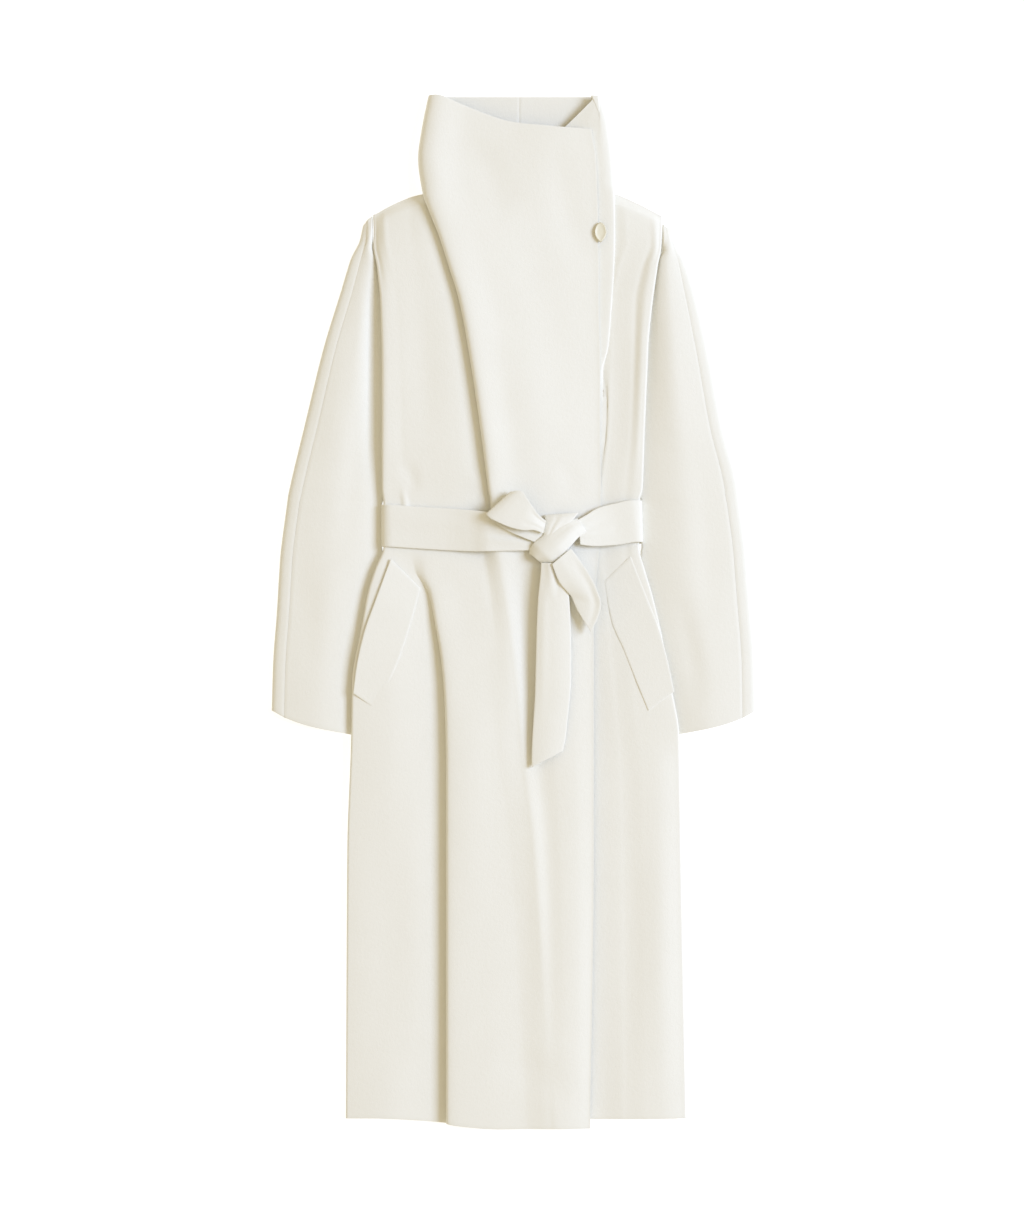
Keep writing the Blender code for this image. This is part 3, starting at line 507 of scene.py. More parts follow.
def shell(name, grids, thickness=CLOTH):
    """A cloth wall from grids that share lines, as one closed piece of the given thickness."""
    starts = np.cumsum([0] + [grid.shape[0] * grid.shape[1] for grid in grids])
    vertices = np.concatenate([grid.reshape(-1, 3) for grid in grids])
    faces = [grid_faces(*grid.shape[:2], first) for grid, first in zip(grids, starts)]
    piece = mesh_of(name, vertices, np.concatenate(faces))
    tidy_mesh(piece)
    wall = piece.modifiers.new("thickness", "SOLIDIFY")
    wall.thickness = thickness * MM
    wall.offset = 0
    edge = piece.modifiers.new("felled edge", "BEVEL")
    edge.width = EDGE_ROUND * MM
    edge.segments = 2
    edge.limit_method = "ANGLE"
    edge.angle_limit = math.radians(60)
    pieces[name] = piece
    print(name, len(piece.data.polygons), "squares")


# %% [markdown]
# ## The two fronts
# On a coat like this, the collar is cut in one with the front: the same cloth runs up from the hem, rolls
# outwards beside the neck, and stands as a funnel. So one front is three sheets that share lines. The upper
# layer reaches from the wrap edge to the fold. The chest and skirt run on from under the fold to the side
# seam. At the neck, the collar turns round behind, to its seam at the centre back.

# %% A front
# Lines from the fold to the wrap edge: the share of the way, and the column that gives the height
UPPER_LINES = ((1, "edge"), (0.97, "edge"), (0.75, "far"), (0.5, "middle"), (0.25, "near"))
PLEAT_RADIUS = 4.2
PLEAT_REACH = 8.0
OUTER_OFFSET = 26.0  # how far beyond the pleat its slope ends
COLLAR_TURN = 12.0  # how far in from the fold the collar's back half lies flat
FINE = 4.6  # spacing of the points across most panels
PRESSED = 0.35  # how round the side edges are pressed, against the solid's


def hemmed(line, hem):
    """The line with its last stretch refitted to end on the hem."""
    line[:, 1] = refit(line[:, 1], SKIRT_Y, HEM_Y, outline_y(hem, line[-1, 0]))
    return line


def shouldered(line, shoulder):
    """The line with its top refitted to the shoulder seam, and its last stretch brought down on to it."""
    top_y = outline_y(shoulder, line[0, 0])
    line[:, 1] = refit(line[:, 1], CHEST_Y, NECK_Y, top_y)
    line[:, 2] = UPPER_Z + (line[:, 2] - UPPER_Z) * rise(line[:, 1], top_y)
    return line


def upper_lines(y, lines, levels, collar_top):
    """Lines of the upper layer from the wrap edge to the fold, each ending on the collar's top edge."""
    made = []
    for share, name in UPPER_LINES:
        top_x = at(lines, "fold", y[:1]) + share * (at(lines, "edge", y[:1]) - at(lines, "fold", y[:1]))
        line_y = refit(y, NECK_Y, COLLAR_Y, outline_y(collar_top, top_x[0]))
        fold_x = at(lines, "fold", line_y)
        x = fold_x + share * (at(lines, "edge", line_y) - fold_x)
        made.append(points(x, line_y, at(levels, name, line_y)))
    return made


def chest_lines(y, valley, side_x, panel, way):
    """Lines of the chest and skirt, from beside the fold's valley over the skirt's pleat to the side seam."""
    pleat_x = at(panel, "pleat_x", y)
    inner_x = (valley[:, 0] + pleat_x + way * PLEAT_REACH) / 2
    outer_x = (pleat_x - way * OUTER_OFFSET + side_x) / 2
    top, low, pleated = (at(panel, name, y) for name in ("pleat", "valley", "pleated"))
    pleat = overlap(y, pleat_x, top, PLEAT_RADIUS, PLEAT_REACH, low, pleated, way)
    side_top = at(panel, "side", y)
    side_radius = PRESSED * at(panel, "side_radius", y)
    side = side_roll(y, side_x, side_top, side_radius, at(panel, "side_in", y), way)
    inner = points(inner_x, y, at(panel, "inner", y))
    outer = points(outer_x, y, at(panel, "outer", y))
    return [inner] + pleat + [outer] + side


def front(lines, levels, fold, panel, collar_top, shoulder, hem, way, centre_back):
    """Grids of one front. way is +1 where the upper layer lies towards +X from its fold."""
    y = np.concatenate([COLLAR_ROWS[:-1], BODY_ROWS])
    first = len(COLLAR_ROWS) - 1
    radius, reach, valley, folded = (at(fold, name, y) for name in ("radius", "reach", "valley", "folded"))
    wrap = overlap(y, at(lines, "fold", y), at(levels, "fold", y), radius, reach, valley, folded, way)
    wrap = [hemmed(line, hem) for line in wrap]
    flat = [hemmed(line, hem) for line in upper_lines(y, lines, levels, collar_top)]
    upper = across(flat + wrap[:5], FINE)

    under = [line[first:] for line in wrap[4:]]
    chest = chest_lines(y[first:], under[-1], at(lines, "side", y[first:]), panel, way)
    chest = [hemmed(shouldered(line, shoulder), hem) for line in chest]
    lower = across(under + chest, FINE)

    start = wrap[4][: first + 1]
    turned_x = start[:, 0] + way * COLLAR_TURN
    flat_x = (turned_x, (turned_x + centre_back) / 2, centre_back)
    behind = across([start] + [points(x, y[: first + 1], FLOOR_Z) for x in flat_x], FINE)
    return [creased(grid) for grid in (upper, lower, behind)]


# %% Both fronts
CENTRE_SEAM = 0.05
RIGHT_SHAPE = (RIGHT_LINES, RIGHT_HEIGHTS, RIGHT_FOLD, RIGHT_PANEL)
RIGHT_ENDS = (RIGHT_COLLAR_TOP, SHOULDER_RIGHT, RIGHT_HEM)
LEFT_SHAPE = (LEFT_LINES, LEFT_HEIGHTS, LEFT_FOLD, LEFT_PANEL)
LEFT_ENDS = (LEFT_COLLAR_TOP, SHOULDER_LEFT, LEFT_HEM)
shell("cloth_front_right", front(*RIGHT_SHAPE, *RIGHT_ENDS, 1, CENTRE_BACK - CENTRE_SEAM / 2))
shell("cloth_front_left", front(*LEFT_SHAPE, *LEFT_ENDS, -1, CENTRE_BACK + CENTRE_SEAM / 2))

# %% [markdown]
# ## The back
# The back is the plainest piece. It lies flat on the table under everything else, lifted only where the belt
# passes beneath it. Almost nothing of it shows, so it gets few lines.

# %% The back
BACK_ROWS = heights((569, 160, 50), (160, 76, 40), (76, -684, 90))
BACK_INSET = 3.5  # how far the back's side edges lie outside the fronts' seam lines
BACK_FINE = 9.0
SHOULDER_Y = 508.0  # above this, each line is fitted to the shoulder seam
BELT_CLEAR = 1.5  # how far beyond the belt's edges the back stays raised
BELT_EASE = 17.0  # over which it then comes down to the table


def back_panel():
    """The back as a grid: a flat sheet whose middle height rises by one belt's thickness over the belt."""
    y = BACK_ROWS
    left = at(RIGHT_LINES, "side", y) + at(RIGHT_PANEL, "side_in", y) - BACK_INSET
    right = at(LEFT_LINES, "side", y) - at(LEFT_PANEL, "side_in", y) + BACK_INSET
    beside_belt = np.clip((np.abs(y - BELT_Y) - BELT_WIDTH / 2 - BELT_CLEAR) / BELT_EASE, 0, 1)
    z = FLOOR_Z + (1 - beside_belt) * (BELT_CLOTH + SEAM)
    tops = {0: outline_y(SHOULDER_RIGHT, left[0]), 1: outline_y(SHOULDER_LEFT, right[0])}
    lines = []
    for share in (0, 0.25, 0.5, 0.75, 1):
        top_y = tops.get(share, NECK_Y - SEAM)
        lines.append(points(left + share * (right - left), refit(y, SHOULDER_Y, NECK_Y, top_y), z))
    return across(lines, BACK_FINE)


shell("cloth_back", [back_panel()])

# %% [markdown]
# ## The sleeves
# Each sleeve is two halves, sewn along the outer arm by a seam that shows as a fine line inside the edge. The
# lower half lies on the table and comes round the edge up to the seam. The upper half arches over the arm's
# hollow and tucks round at the body.

# %% The sleeves' tables
# Sleeves: the outer edge; how far inside it the seam lies; where the inner edge lies; and the heights of the
# seam, of the crown and of the inner edge
RIGHT_SLEEVE = table(
    "y outer seam inner seam_z crown inner_z",
    (540, -204, 5, -192.6, 3.6, 3.6, 3.6),
    (510, -209, 9, -193, 9, 11.5, 11),
    (494, -215, 11, -190.5, 10, 12.5, 9.5),
    (478, -221, 13, -183, 10.5, 13, 8.5),
    (435, -234, 15, -178, 11.5, 14, 7),
    (360, -257, 16, -175.5, 12.5, 14.5, 6),
    (250, -284, 17, -175.5, 12.5, 14.5, 6),
    (166, -304, 17, -176, 12.5, 14.5, 6),
    (156, -306, 17, -177.5, 12.5, 14.5, 6),
    (148, -307, 16, -182, 12.5, 14.5, 6),
    (88, -315, 16, -182, 12.5, 14.5, 6),
    (79, -316, 16, -180, 12.5, 14.5, 6),
    (50, -318, 16, -186, 12, 14.5, 6),
    (0, -321, 16, -198, 11.5, 14, 6.5),
    (-70, -326, 16, -211, 11.5, 13.5, 6.5),
    (-140, -328, 16, -216, 10, 12, 5.5),
)

LEFT_SLEEVE = table(
    "y outer seam inner seam_z crown inner_z",
    (540, 214, 5, 203, 3.6, 3.6, 3.6),
    (510, 220, 5, 202, 10, 12, 11.8),
    (494, 225, 7, 200.6, 10.5, 12.8, 9),
    (478, 231, 9, 192, 10.5, 13, 7.5),
    (435, 245, 14, 185, 11.5, 14, 6.5),
    (360, 263, 17, 179, 12.5, 14.5, 6),
    (250, 284, 18, 174, 12.5, 14.5, 6),
    (166, 305, 19, 171.5, 12.5, 14.5, 6),
    (156, 306, 19, 173, 12.5, 14.5, 6),
    (148, 307, 18, 176, 12.5, 14.5, 6),
    (88, 315, 18, 176, 12.5, 14.5, 6),
    (79, 316, 18, 174, 12.5, 14.5, 6),
    (50, 318, 18, 176, 12, 14.5, 6),
    (0, 322, 18, 189, 11.5, 14, 7),
    (-70, 327, 18, 204, 11.5, 13.5, 7),
    (-140, 328, 18, 218.5, 10, 12, 5.5),
)

# %% Both sleeves
SLEEVE_SEAM = 0.1
UNDER_BELT = 2.4  # how far the inner edge tucks in below the belt's turn
BELT_REACH = 50.0  # how far up and down from the belt it does so
SLEEVE_TOP_Y = 480.0  # above this, each line is fitted to the shoulder seam
SLEEVE_CUFF_Y = -20.0  # below this, each is fitted to the cuff
SLEEVE_MIN_RISE = 0.35
INNER_RISE = 0.58  # how much of the crown's rise the sleeve has, half-way in from it
OUTER_LIFT = 0.6  # how much the cloth bows up between the seam and the crown
# The inner edge's round: how far out from it each line lies, and its share of the way down
TUCK_ROUND = ((4.5, 0), (1.2, 0.2), (0, 0.5), (2, 1))
TUCK_FULL_Y = 478.0  # above this it narrows, and from the next up it stays narrow
TUCK_FROM_Y = 505.0
TUCK_NARROW = 0.3
CUFF_ROUND = ((2.2, 0), (0.7, 0.125), (0, 0.5), (0.7, 0.85))


def sleeve_line(x, z, low, least=0):
    """One lengthwise line of a sleeve, fitted between the shoulder seam and the cuff. Below the shoulder its
    height above low grows to the whole of z, from the least share of it."""
    top_y = outline_y(SLEEVE_TOP, abs(x[0]))
    cuff_y = outline_y(CUFF, abs(x[-1]))
    y = refit(SLEEVE_ROWS, SLEEVE_TOP_Y, SLEEVE_ROWS[0], top_y)
    y = refit(y, SLEEVE_CUFF_Y, SLEEVE_ROWS[-1], cuff_y)
    return points(x, y, low + (z - low) * (least + (1 - least) * rise(y, top_y)))


def inner_edge(columns, y, way):
    """Where the sleeve's inner edge lies: the table's place, moved in by a bell curve about the belt."""
    return at(columns, "inner", y) + way * UNDER_BELT * np.exp(-(((y - BELT_Y) / BELT_REACH) ** 2))


def sleeve_front(columns, way):
    """A sleeve's upper half: from the outer seam over the crown, and round the inner edge on to the lower
    half. way is +1 where the inner edge lies towards +X."""
    y = SLEEVE_ROWS
    inner = inner_edge(columns, y, way)
    seam = at(columns, "outer", y) + way * at(columns, "seam", y)
    half = (seam + inner) / 2
    seam_z = at(columns, "seam_z", y)
    crown = at(columns, "crown", y)
    top = at(columns, "inner_z", y)
    over = [
        (seam + way * SLEEVE_SEAM, seam_z),
        ((seam + half) / 2, (seam_z + crown) / 2 + OUTER_LIFT),
        (half, crown),
        ((half + inner) / 2, top + INNER_RISE * (crown - top)),
    ]
    tuck = way * np.interp(y, (TUCK_FULL_Y, TUCK_FROM_Y), (1, TUCK_NARROW))
    edge = [(inner - tuck * out, top - fall * (top - UPPER_Z)) for out, fall in TUCK_ROUND]
    return creased(across([sleeve_line(x, z, UPPER_Z) for x, z in over + edge], FINE))


def sleeve_back(columns, way):
    """A sleeve's lower half: flat on the table, then up round the outer edge to the seam."""
    y = SLEEVE_ROWS
    inner = inner_edge(columns, y, way)
    outer = at(columns, "outer", y)
    seam = outer + way * at(columns, "seam", y)
    seam_z = at(columns, "seam_z", y)
    radius = (seam_z - FLOOR_Z) / 2
    flat = [(inner, FLOOR_Z), ((seam + inner) / 2, FLOOR_Z)]
    edge = [(outer + way * out * radius, FLOOR_Z + climb * 2 * radius) for out, climb in CUFF_ROUND]
    places = flat + edge + [(seam, seam_z)]
    return creased(across([sleeve_line(x, z, FLOOR_Z, SLEEVE_MIN_RISE) for x, z in places], FINE))


for side, columns, way in (("right", RIGHT_SLEEVE, 1), ("left", LEFT_SLEEVE, -1)):
    shell(f"cloth_sleeve_{side}_front", [sleeve_front(columns, way)])
    shell(f"cloth_sleeve_{side}_back", [sleeve_back(columns, way)])

# %% [markdown]
# ## The belt
# The belt is one long strip of the same wool, about 57 mm wide. It runs round the waist, under the back, and
# ends in a half bow: a loop towards the wearer's right, a long end that hangs down and a short one beside it.
# Each stretch is a strip carried along a path. At every station the path has a middle point, a width, the way
# that width runs, and a tilt.

# %% The belt's tables
# The belt's run round the waist, from the knot to the wearer's right, under the back and up again. Columns:
# the place along the run; x, y and z of its middle; its width; its turn from +X and its tilt, in degrees
BELT_RUN = (
    (-1, 36, 101, 30, 34, 0, 0),
    (0, 15, 104, 29.5, 42, 0, 0),
    (1, -10, 106.5, 30, 48, 2, 0),
    (2, -34, 108.5, 30.4, 53, 2, 0),
    (3, -60, 110, 26, 56, 2, 0),
    (4, -95, 112, 22.5, BELT_WIDTH, 1, 0),
    (5, -135, 114.5, 21.5, BELT_WIDTH, 1, 0),
    (6, -165, 116.5, 21.5, BELT_WIDTH, 1, 0),
    (7, -175, 117, 19, BELT_WIDTH, 0, 0),
    (8, -178.6, 117, 13, BELT_WIDTH, 0, 0),
    (9, -175, 117, 4, BELT_WIDTH, 0, 0),
    (10, -165, 117, 1.3, BELT_WIDTH, 0, 0),
    (11, 0, 117, 1.3, BELT_WIDTH, 0, 0),
    (12, 158, 118, 1.3, BELT_WIDTH, 0, 0),
    (13, 168, 120, 3.5, BELT_WIDTH, 0, 0),
    (14, 173.4, 122, 10, BELT_WIDTH, 1, 0),
    (15, 172, 123, 17, BELT_WIDTH, 3, 0),
    (16, 162, 123, 20.5, BELT_WIDTH, 7, 0),
    (17, 140, 119, 21, 56, 9, 0),
    (18, 118, 115, 23, 52, 10, 0),
    (19, 100, 110, 26, 42, 8, 0),
    (20, 88, 108, 28, 34, 4, 0),
)

# The bow's loop: out from the knot along the lower layer, round its tip, and back along the upper one
LOOP_RUN = (
    (-2, 47, 95, 32, 16, -24, 0),
    (-1, 31, 105, 34, 22, -27, 0),
    (0, 17, 114.8, 35, 30, -28, 0),
    (1, 5.5, 126, 35, 41.5, -24, 0),
    (2, -4.5, 134.5, 35, 48, -26, 0),
    (3, -13.5, 141.5, 35.6, 49, -33, 0),
    (4, -20.6, 146.4, 40, 44, -48, 0),
    (5, -11.5, 143.8, 44.6, 52, -42, 0),
    (6, -1, 139.5, 45.4, 51, -31, 0),
    (7, 11.5, 131.3, 45.2, 42, -21, 0),
    (8, 22, 124.7, 44, 30.5, -19, 0),
    (9, 30, 120.8, 42.5, 21.5, -16, 0),
    (10, 41, 114.5, 39, 17, -12, 0),
)

# The two ends, down from the knot
LONG_END = (
    (0, 50, 66, 34, 27, 88, 0),
    (1, 53, 46, 33.5, 35, 89, 0),
    (2, 53.5, 14, 32, 42.5, 90, 0),
    (3, 53.6, -25, 30.5, 46, 91, 0),
    (4, 53, -90, 29.5, 48, 92, 0),
    (5, 49, -150, 28, 46.5, 96, 0),
    (6, 45, -199, 27, 48, 118, 0),
)

SHORT_END = (
    (0, 64, 75, 39.5, 33, 130, 3),
    (1, 76, 54, 38.2, 39, 122, 1),
    (2, 91, 30, 36.7, 41, 92, -2),
    (3, 98, 12, 34.2, 39.5, 72, -3),
    (4, 94.5, -12, 33.4, 35, 31, -2),
)

# Pocket welts: the opening edge and the sewn edge
WELT_RIGHT = (
    (-167, 72, 22.6, -127, 32, 19),
    (-186, 20, 24, -139, -12, 20.6),
    (-203, -28, 23.6, -154, -58, 21.4),
    (-213, -72, 22.4, -169, -95, 20.8),
    (-218, -110, 21, -186, -133, 19.6),
)
WELT_LEFT = (
    (158, 76, 17.8, 122, 42, 15),
    (180, 20, 18.6, 132, -12, 15.8),
    (198, -28, 19.2, 149, -52, 17.0),
    (210, -74, 19.0, 166, -95, 18.0),
    (217, -108, 18.8, 182, -134, 18.4),
)

# %% Strips of belt
BAND_COLUMNS = "x y z width turn tilt"
BAND_WIDE = 17  # points across a strip


def band(rows, steps, crown=0.0, gathers=()):
    """A strip through its rows, as a grid whose columns run across it. Each point is the middle, plus its
    share of the width along the side's direction, plus a lift: an arch across the strip, and gathers. A
    gather is (share across, height, width, from, to): a ridge or trough along it between two stations."""
    columns = table("s " + BAND_COLUMNS, *rows)
    s = columns["s"]
    fine = np.linspace(s[0], s[-1], steps)
    x, y, z, width, turn, tilt = (smooth(s, columns[name], fine) for name in BAND_COLUMNS.split())
    turn = np.radians(turn)
    tilt = np.radians(tilt)
    side = points(-np.sin(turn) * np.cos(tilt), np.cos(turn) * np.cos(tilt), np.sin(tilt))
    share = np.linspace(-0.5, 0.5, BAND_WIDE)
    grid = points(x, y, z)[:, None] + side[:, None] * (share * width[:, None])[..., None]
    lift = crown * (1 - (2 * share) ** 2) + 0 * fine[:, None]
    for place, height, spread, start, end in gathers:
        along = np.clip((fine - start) / (end - start), 0, 1)
        lift = lift + height * np.sin(math.pi * along)[:, None] * np.exp(-(((share - place) / spread) ** 2))
    grid[..., 2] += lift
    return grid


# %% The belt, its loop and its ends
BELT_GATHERS = (
    (0.1, 1.6, 0.12, -0.5, 2.6),
    (-0.22, 1.2, 0.1, -0.5, 2.2),
    (-0.06, -0.9, 0.07, -0.5, 2.4),
    (0.18, 0.9, 0.2, 2.5, 6),
    (-0.1, 1.5, 0.13, 17.2, 21),
    (0.2, 1.2, 0.12, 17.6, 21),
    (0.05, -1.0, 0.07, 17.4, 21),
)
LOOP_GATHERS = ((-0.1, 1.0, 0.13, 7.2, 11), (0.27, -0.9, 0.1, 7.4, 10.6), (-0.36, 0.8, 0.08, 6.5, 10))
LONG_GATHERS = ((0.1, 1.4, 0.14, -1, 2), (-0.14, -1.6, 0.09, -1, 1.9), (0.3, 0.8, 0.12, 1, 5))
SHORT_GATHERS = ((-0.3, -1.3, 0.12, 0.5, 4.2), (0.1, 0.6, 0.2, -1, 3))
LONG_CROWN = 2.0
SHORT_CROWN = 0.8
shell("cloth_belt_band", [band(BELT_RUN, 220, gathers=BELT_GATHERS)], BELT_CLOTH)
shell("cloth_belt_loop", [band(LOOP_RUN, 110, gathers=LOOP_GATHERS)], BELT_CLOTH)
shell("cloth_belt_long_end", [band(LONG_END, 110, LONG_CROWN, LONG_GATHERS)], BELT_CLOTH)
shell("cloth_belt_short_end", [band(SHORT_END, 60, SHORT_CROWN, SHORT_GATHERS)], BELT_CLOTH)

# %% [markdown]
# ## The knot
# The knot is where one turn of the belt crosses over all the others. What is seen is that turn, arching from
# the upper right to the lower left, and beside it the gathered root of the loop. Both are strips again, with
# a high arch across, so that they read as cloth pulled tight round something.

# %% The knot's two turns
KNOT_WRAP = (
    (0, 92, 117, 26, 22, 35, 0),
    (1, 81, 113, 30.5, 26, 36, 0),
    (2, 67, 102, 34, 31, 38, 0),
    (3, 53, 90, 35.5, 37, 42, 0),
    (4, 42, 81.5, 35, 37, 46, 0),
    (5, 34, 76, 31.5, 30, 50, 0),
    (6, 29, 73, 28.5, 20, 52, 0),
)
LOOP_ROOT = (
    (0, 64, 132, 25, 46, 94, 0),
    (1, 62, 126, 31, 40, 93, 0),
    (2, 54, 113, 34.5, 27, 88, 0),
    (3, 48, 101, 35, 16, 82, 0),
    (4, 45, 93, 32, 10, 78, 0),
)
WRAP_GATHERS = ((0.2, -0.8, 0.08, -1, 3.4), (-0.12, 0.6, 0.1, 0, 4))
ROOT_GATHERS = ((0.1, -1.0, 0.07, -1, 4.2), (-0.22, -0.8, 0.07, 0.5, 5))
WRAP_CROWN = 6.0
ROOT_CROWN = 3.0
shell("cloth_knot_wrap", [band(KNOT_WRAP, 70, WRAP_CROWN, WRAP_GATHERS)], BELT_CLOTH)
shell("cloth_knot_root", [band(LOOP_ROOT, 50, ROOT_CROWN, ROOT_GATHERS)], BELT_CLOTH)

# %% [markdown]
# ## Pocket welts
# Each pocket opens along a slant, under a welt: a narrow folded piece sewn on below the opening. It follows
# the skirt that it lies on, so the same creases lift it.

# %% Two welts
WELT_CLOTH = 1.6
WELT_STEPS = 44
WELT_FINE = 3.4


def welt_edge(columns, edge, sunk):
    """One edge of a welt: a curve through its points, lowered by sunk, as far as it is let into the nap."""
    station = np.arange(len(columns["open_x"]), dtype=float)
    fine = np.linspace(0, len(station) - 1, WELT_STEPS)
    line = points(*(smooth(station, columns[f"{edge}_{axis}"], fine) for axis in "xyz"))
    line[:, 2] -= sunk
    return line


def welt(rows, open_sunk, sewn_sunk):
    """A welt as a grid, from its opening edge to its sewn edge, through two lines between them."""
    columns = table("open_x open_y open_z sewn_x sewn_y sewn_z", *rows)
    opening = welt_edge(columns, "open", open_sunk)
    sewn = welt_edge(columns, "sewn", sewn_sunk)
    lines = [opening, (2 * opening + sewn) / 3, (opening + 2 * sewn) / 3, sewn]
    return creased(across(lines, WELT_FINE))


shell("cloth_pocket_welt_right", [welt(WELT_RIGHT, 0.2, 2.3)], WELT_CLOTH)
shell("cloth_pocket_welt_left", [welt(WELT_LEFT, 2.2, 2.2)], WELT_CLOTH)

# %% [markdown]
# ## The button
# One small horn button, oval and drawn to a point below, closes the collar at the wrap edge. It is turned
# like a lens: a low rim, a shallow dish inside it, and a smooth round edge. Rings of the oval at a few sizes
# and heights make it, closed at the middle above and below.

# %% A horn button
BUTTON_MIDDLE = (117, 514, 18.4)
BUTTON_WIDTH = 16.5
BUTTON_LENGTH = 27
BUTTON_HEIGHT = 4
BUTTON_POINT = 0.45  # how far the lower end is drawn in
BUTTON_RINGS = 46
BUTTON_SIDES = 72
# From the middle below, round the rim, to the middle above. y counts the rows
BUTTON_PROFILE = table(
    "y size height",
    (0, 0.02, 0),
    (1, 0.8, 0),
    (2, 0.96, 0.15),
    (3, 1, 0.45),
    (4, 0.95, 0.8),
    (5, 0.86, 0.93),
    (6, 0.76, 0.86),
    (7, 0.5, 0.72),
    (8, 0.25, 0.68),
    (9, 0.02, 0.67),
)


def button():
    """A lens of horn: the oval outline times the profile's size, at the profile's height, ring by ring. The
    outline is a circle stretched to the button's length, whose lower half narrows with the sine squared."""
    station = np.linspace(0, BUTTON_PROFILE["y"][-1], BUTTON_RINGS)
    size = at(BUTTON_PROFILE, "size", station)[:, None]
    height = at(BUTTON_PROFILE, "height", station)[:, None] * BUTTON_HEIGHT
    angle = np.linspace(0, 2 * math.pi, BUTTON_SIDES + 1)
    narrowed = 1 - BUTTON_POINT * np.clip(-np.sin(angle), 0, 1) ** 2
    x = np.cos(angle) * narrowed * BUTTON_WIDTH / 2 * size
    y = np.sin(angle) * BUTTON_LENGTH / 2 * size
    grid = points(x, y, height) + np.array(BUTTON_MIDDLE, float)
    for end in (0, -1):
        grid[end] = grid[end].mean(axis=0)
    piece = mesh_of("horn_button", grid.reshape(-1, 3), grid_faces(*grid.shape[:2], 0))
    tidy_mesh(piece)
    pieces["horn_button"] = piece


button()
print("pieces:", len(pieces))

# %% [markdown]
# ## Shader sums
# A material is a small sum over the surface: some mottling, plus some nap, times a colour. Written as node
# links it is hard to read, so one small class lets a socket take part in ordinary sums.

# %% A socket that can be added and multiplied
class Wire:
    """An output socket of a material. Sums with it add Math nodes, and make() adds any other node."""

    def __init__(self, tree, socket=None):
        self.tree = tree
        self.socket = socket

    def make(self, kind, inputs, out=0, **settings):
        """A node of the kind, with its settings made first, then the values or wires of its sockets."""
        node = self.tree.nodes.new(kind)
        for name, value in settings.items():
            setattr(node, name, value)
        for name, value in inputs.items():
            if isinstance(value, Wire):
                self.tree.links.new(value.socket, node.inputs[name])
            else:
                node.inputs[name].default_value = value
        return Wire(self.tree, node.outputs[out])

    def __add__(self, other):
        return self.make("ShaderNodeMath", {0: self, 1: other}, operation="ADD")

    __radd__ = __add__

    def __mul__(self, other):
        return self.make("ShaderNodeMath", {0: self, 1: other}, operation="MULTIPLY")

    __rmul__ = __mul__


def new_material(name, values):
    """A material with these values in its shader's sockets, that shader, and a wire to start sums from."""
    material = bpy.data.materials.new(name)
    material.use_nodes = True
    shader = material.node_tree.nodes["Principled BSDF"]
    for socket, value in values.items():
        shader.inputs[socket].default_value = value
    return material, shader, Wire(material.node_tree)


def link(wire, shader, name):
    """Feeds the wire into the shader's socket of that name."""
    wire.tree.links.new(wire.socket, shader.inputs[name])


# %% [markdown]
# ## The wool
# The coat is brushed double-faced wool, undyed white with a warm cast. Close up it is a felted nap: short
# fibres combed down the length, over a twill that only just shows. Further off it is even, with a faint
# mottling where the nap lies differently. The colour comes from two creams, the roughness from the nap, and a
# bump from three heights: cloudy felt, combed fibres and the twill.

# %% The wool's finish
WOOL_LIGHT = (0.84, 0.826, 0.757, 1)
WOOL_DEEP = (0.79, 0.771, 0.692, 1)


def noise(start, place, scale, detail, rough=0.5):
    """Cloudy noise with values from 0 to 1 at a place, as many lumps to the metre as the scale."""
    values = {"Vector": place, "Scale": scale, "Detail": detail, "Roughness": rough}
    return start.make("ShaderNodeTexNoise", values)


def wool():
    """Brushed wool: mottled cream, rough, with a soft sheen and a combed bump."""
    sheen = {"Sheen Weight": 0.22, "Sheen Roughness": 0.55, "Sheen Tint": (1, 0.985, 0.95, 1)}
    material, shader, start = new_material("wool", {"Roughness": 0.9, "Specular IOR Level": 0.25, **sheen})
    place = start.make("ShaderNodeTexCoord", {}, out=3)
    combed = start.make("ShaderNodeMapping", {"Vector": place, "Scale": (1, 0.28, 1)})
    cloud = noise(start, place, 26, 3)
    felt = noise(start, place, 210, 3, 0.6)
    fibres = noise(start, combed, 1500, 3, 0.62)
    turned = start.make("ShaderNodeMapping", {"Vector": place, "Rotation": (0, 0, math.radians(63))})
    twill = start.make(
        "ShaderNodeTexWave",
        {"Vector": turned, "Scale": 210, "Distortion": 1.6, "Detail": 2, "Detail Scale": 2.2},
        out=1,
        wave_type="BANDS",
        bands_direction="X",
        wave_profile="SIN",
    )
    tone = cloud * 0.4 + felt * 0.3 + fibres * 0.3
    colour = start.make("ShaderNodeMix", {0: tone, 6: WOOL_DEEP, 7: WOOL_LIGHT}, out=2, data_type="RGBA")
    link(colour, shader, "Base Color")
    link(0.8 + fibres * 0.15 + cloud * 0.05, shader, "Roughness")
    height = felt * 0.5 + fibres * 0.4 + twill * 0.12
    bump = start.make("ShaderNodeBump", {"Height": height, "Strength": 0.5, "Distance": 0.0009})
    link(bump, shader, "Normal")
    return material


# %% [markdown]
# ## The horn
# Pale horn is cream with faint streaks along its length and a satin gloss. Towards its rim the colour is
# painted darker: painted shade, for the shadow that gathers at the button's edge.

# %% The horn's finish
HORN_PALE = (0.80, 0.765, 0.62, 1)
HORN_STREAK_AND_SHADE = (0.56, 0.49, 0.34, 1)


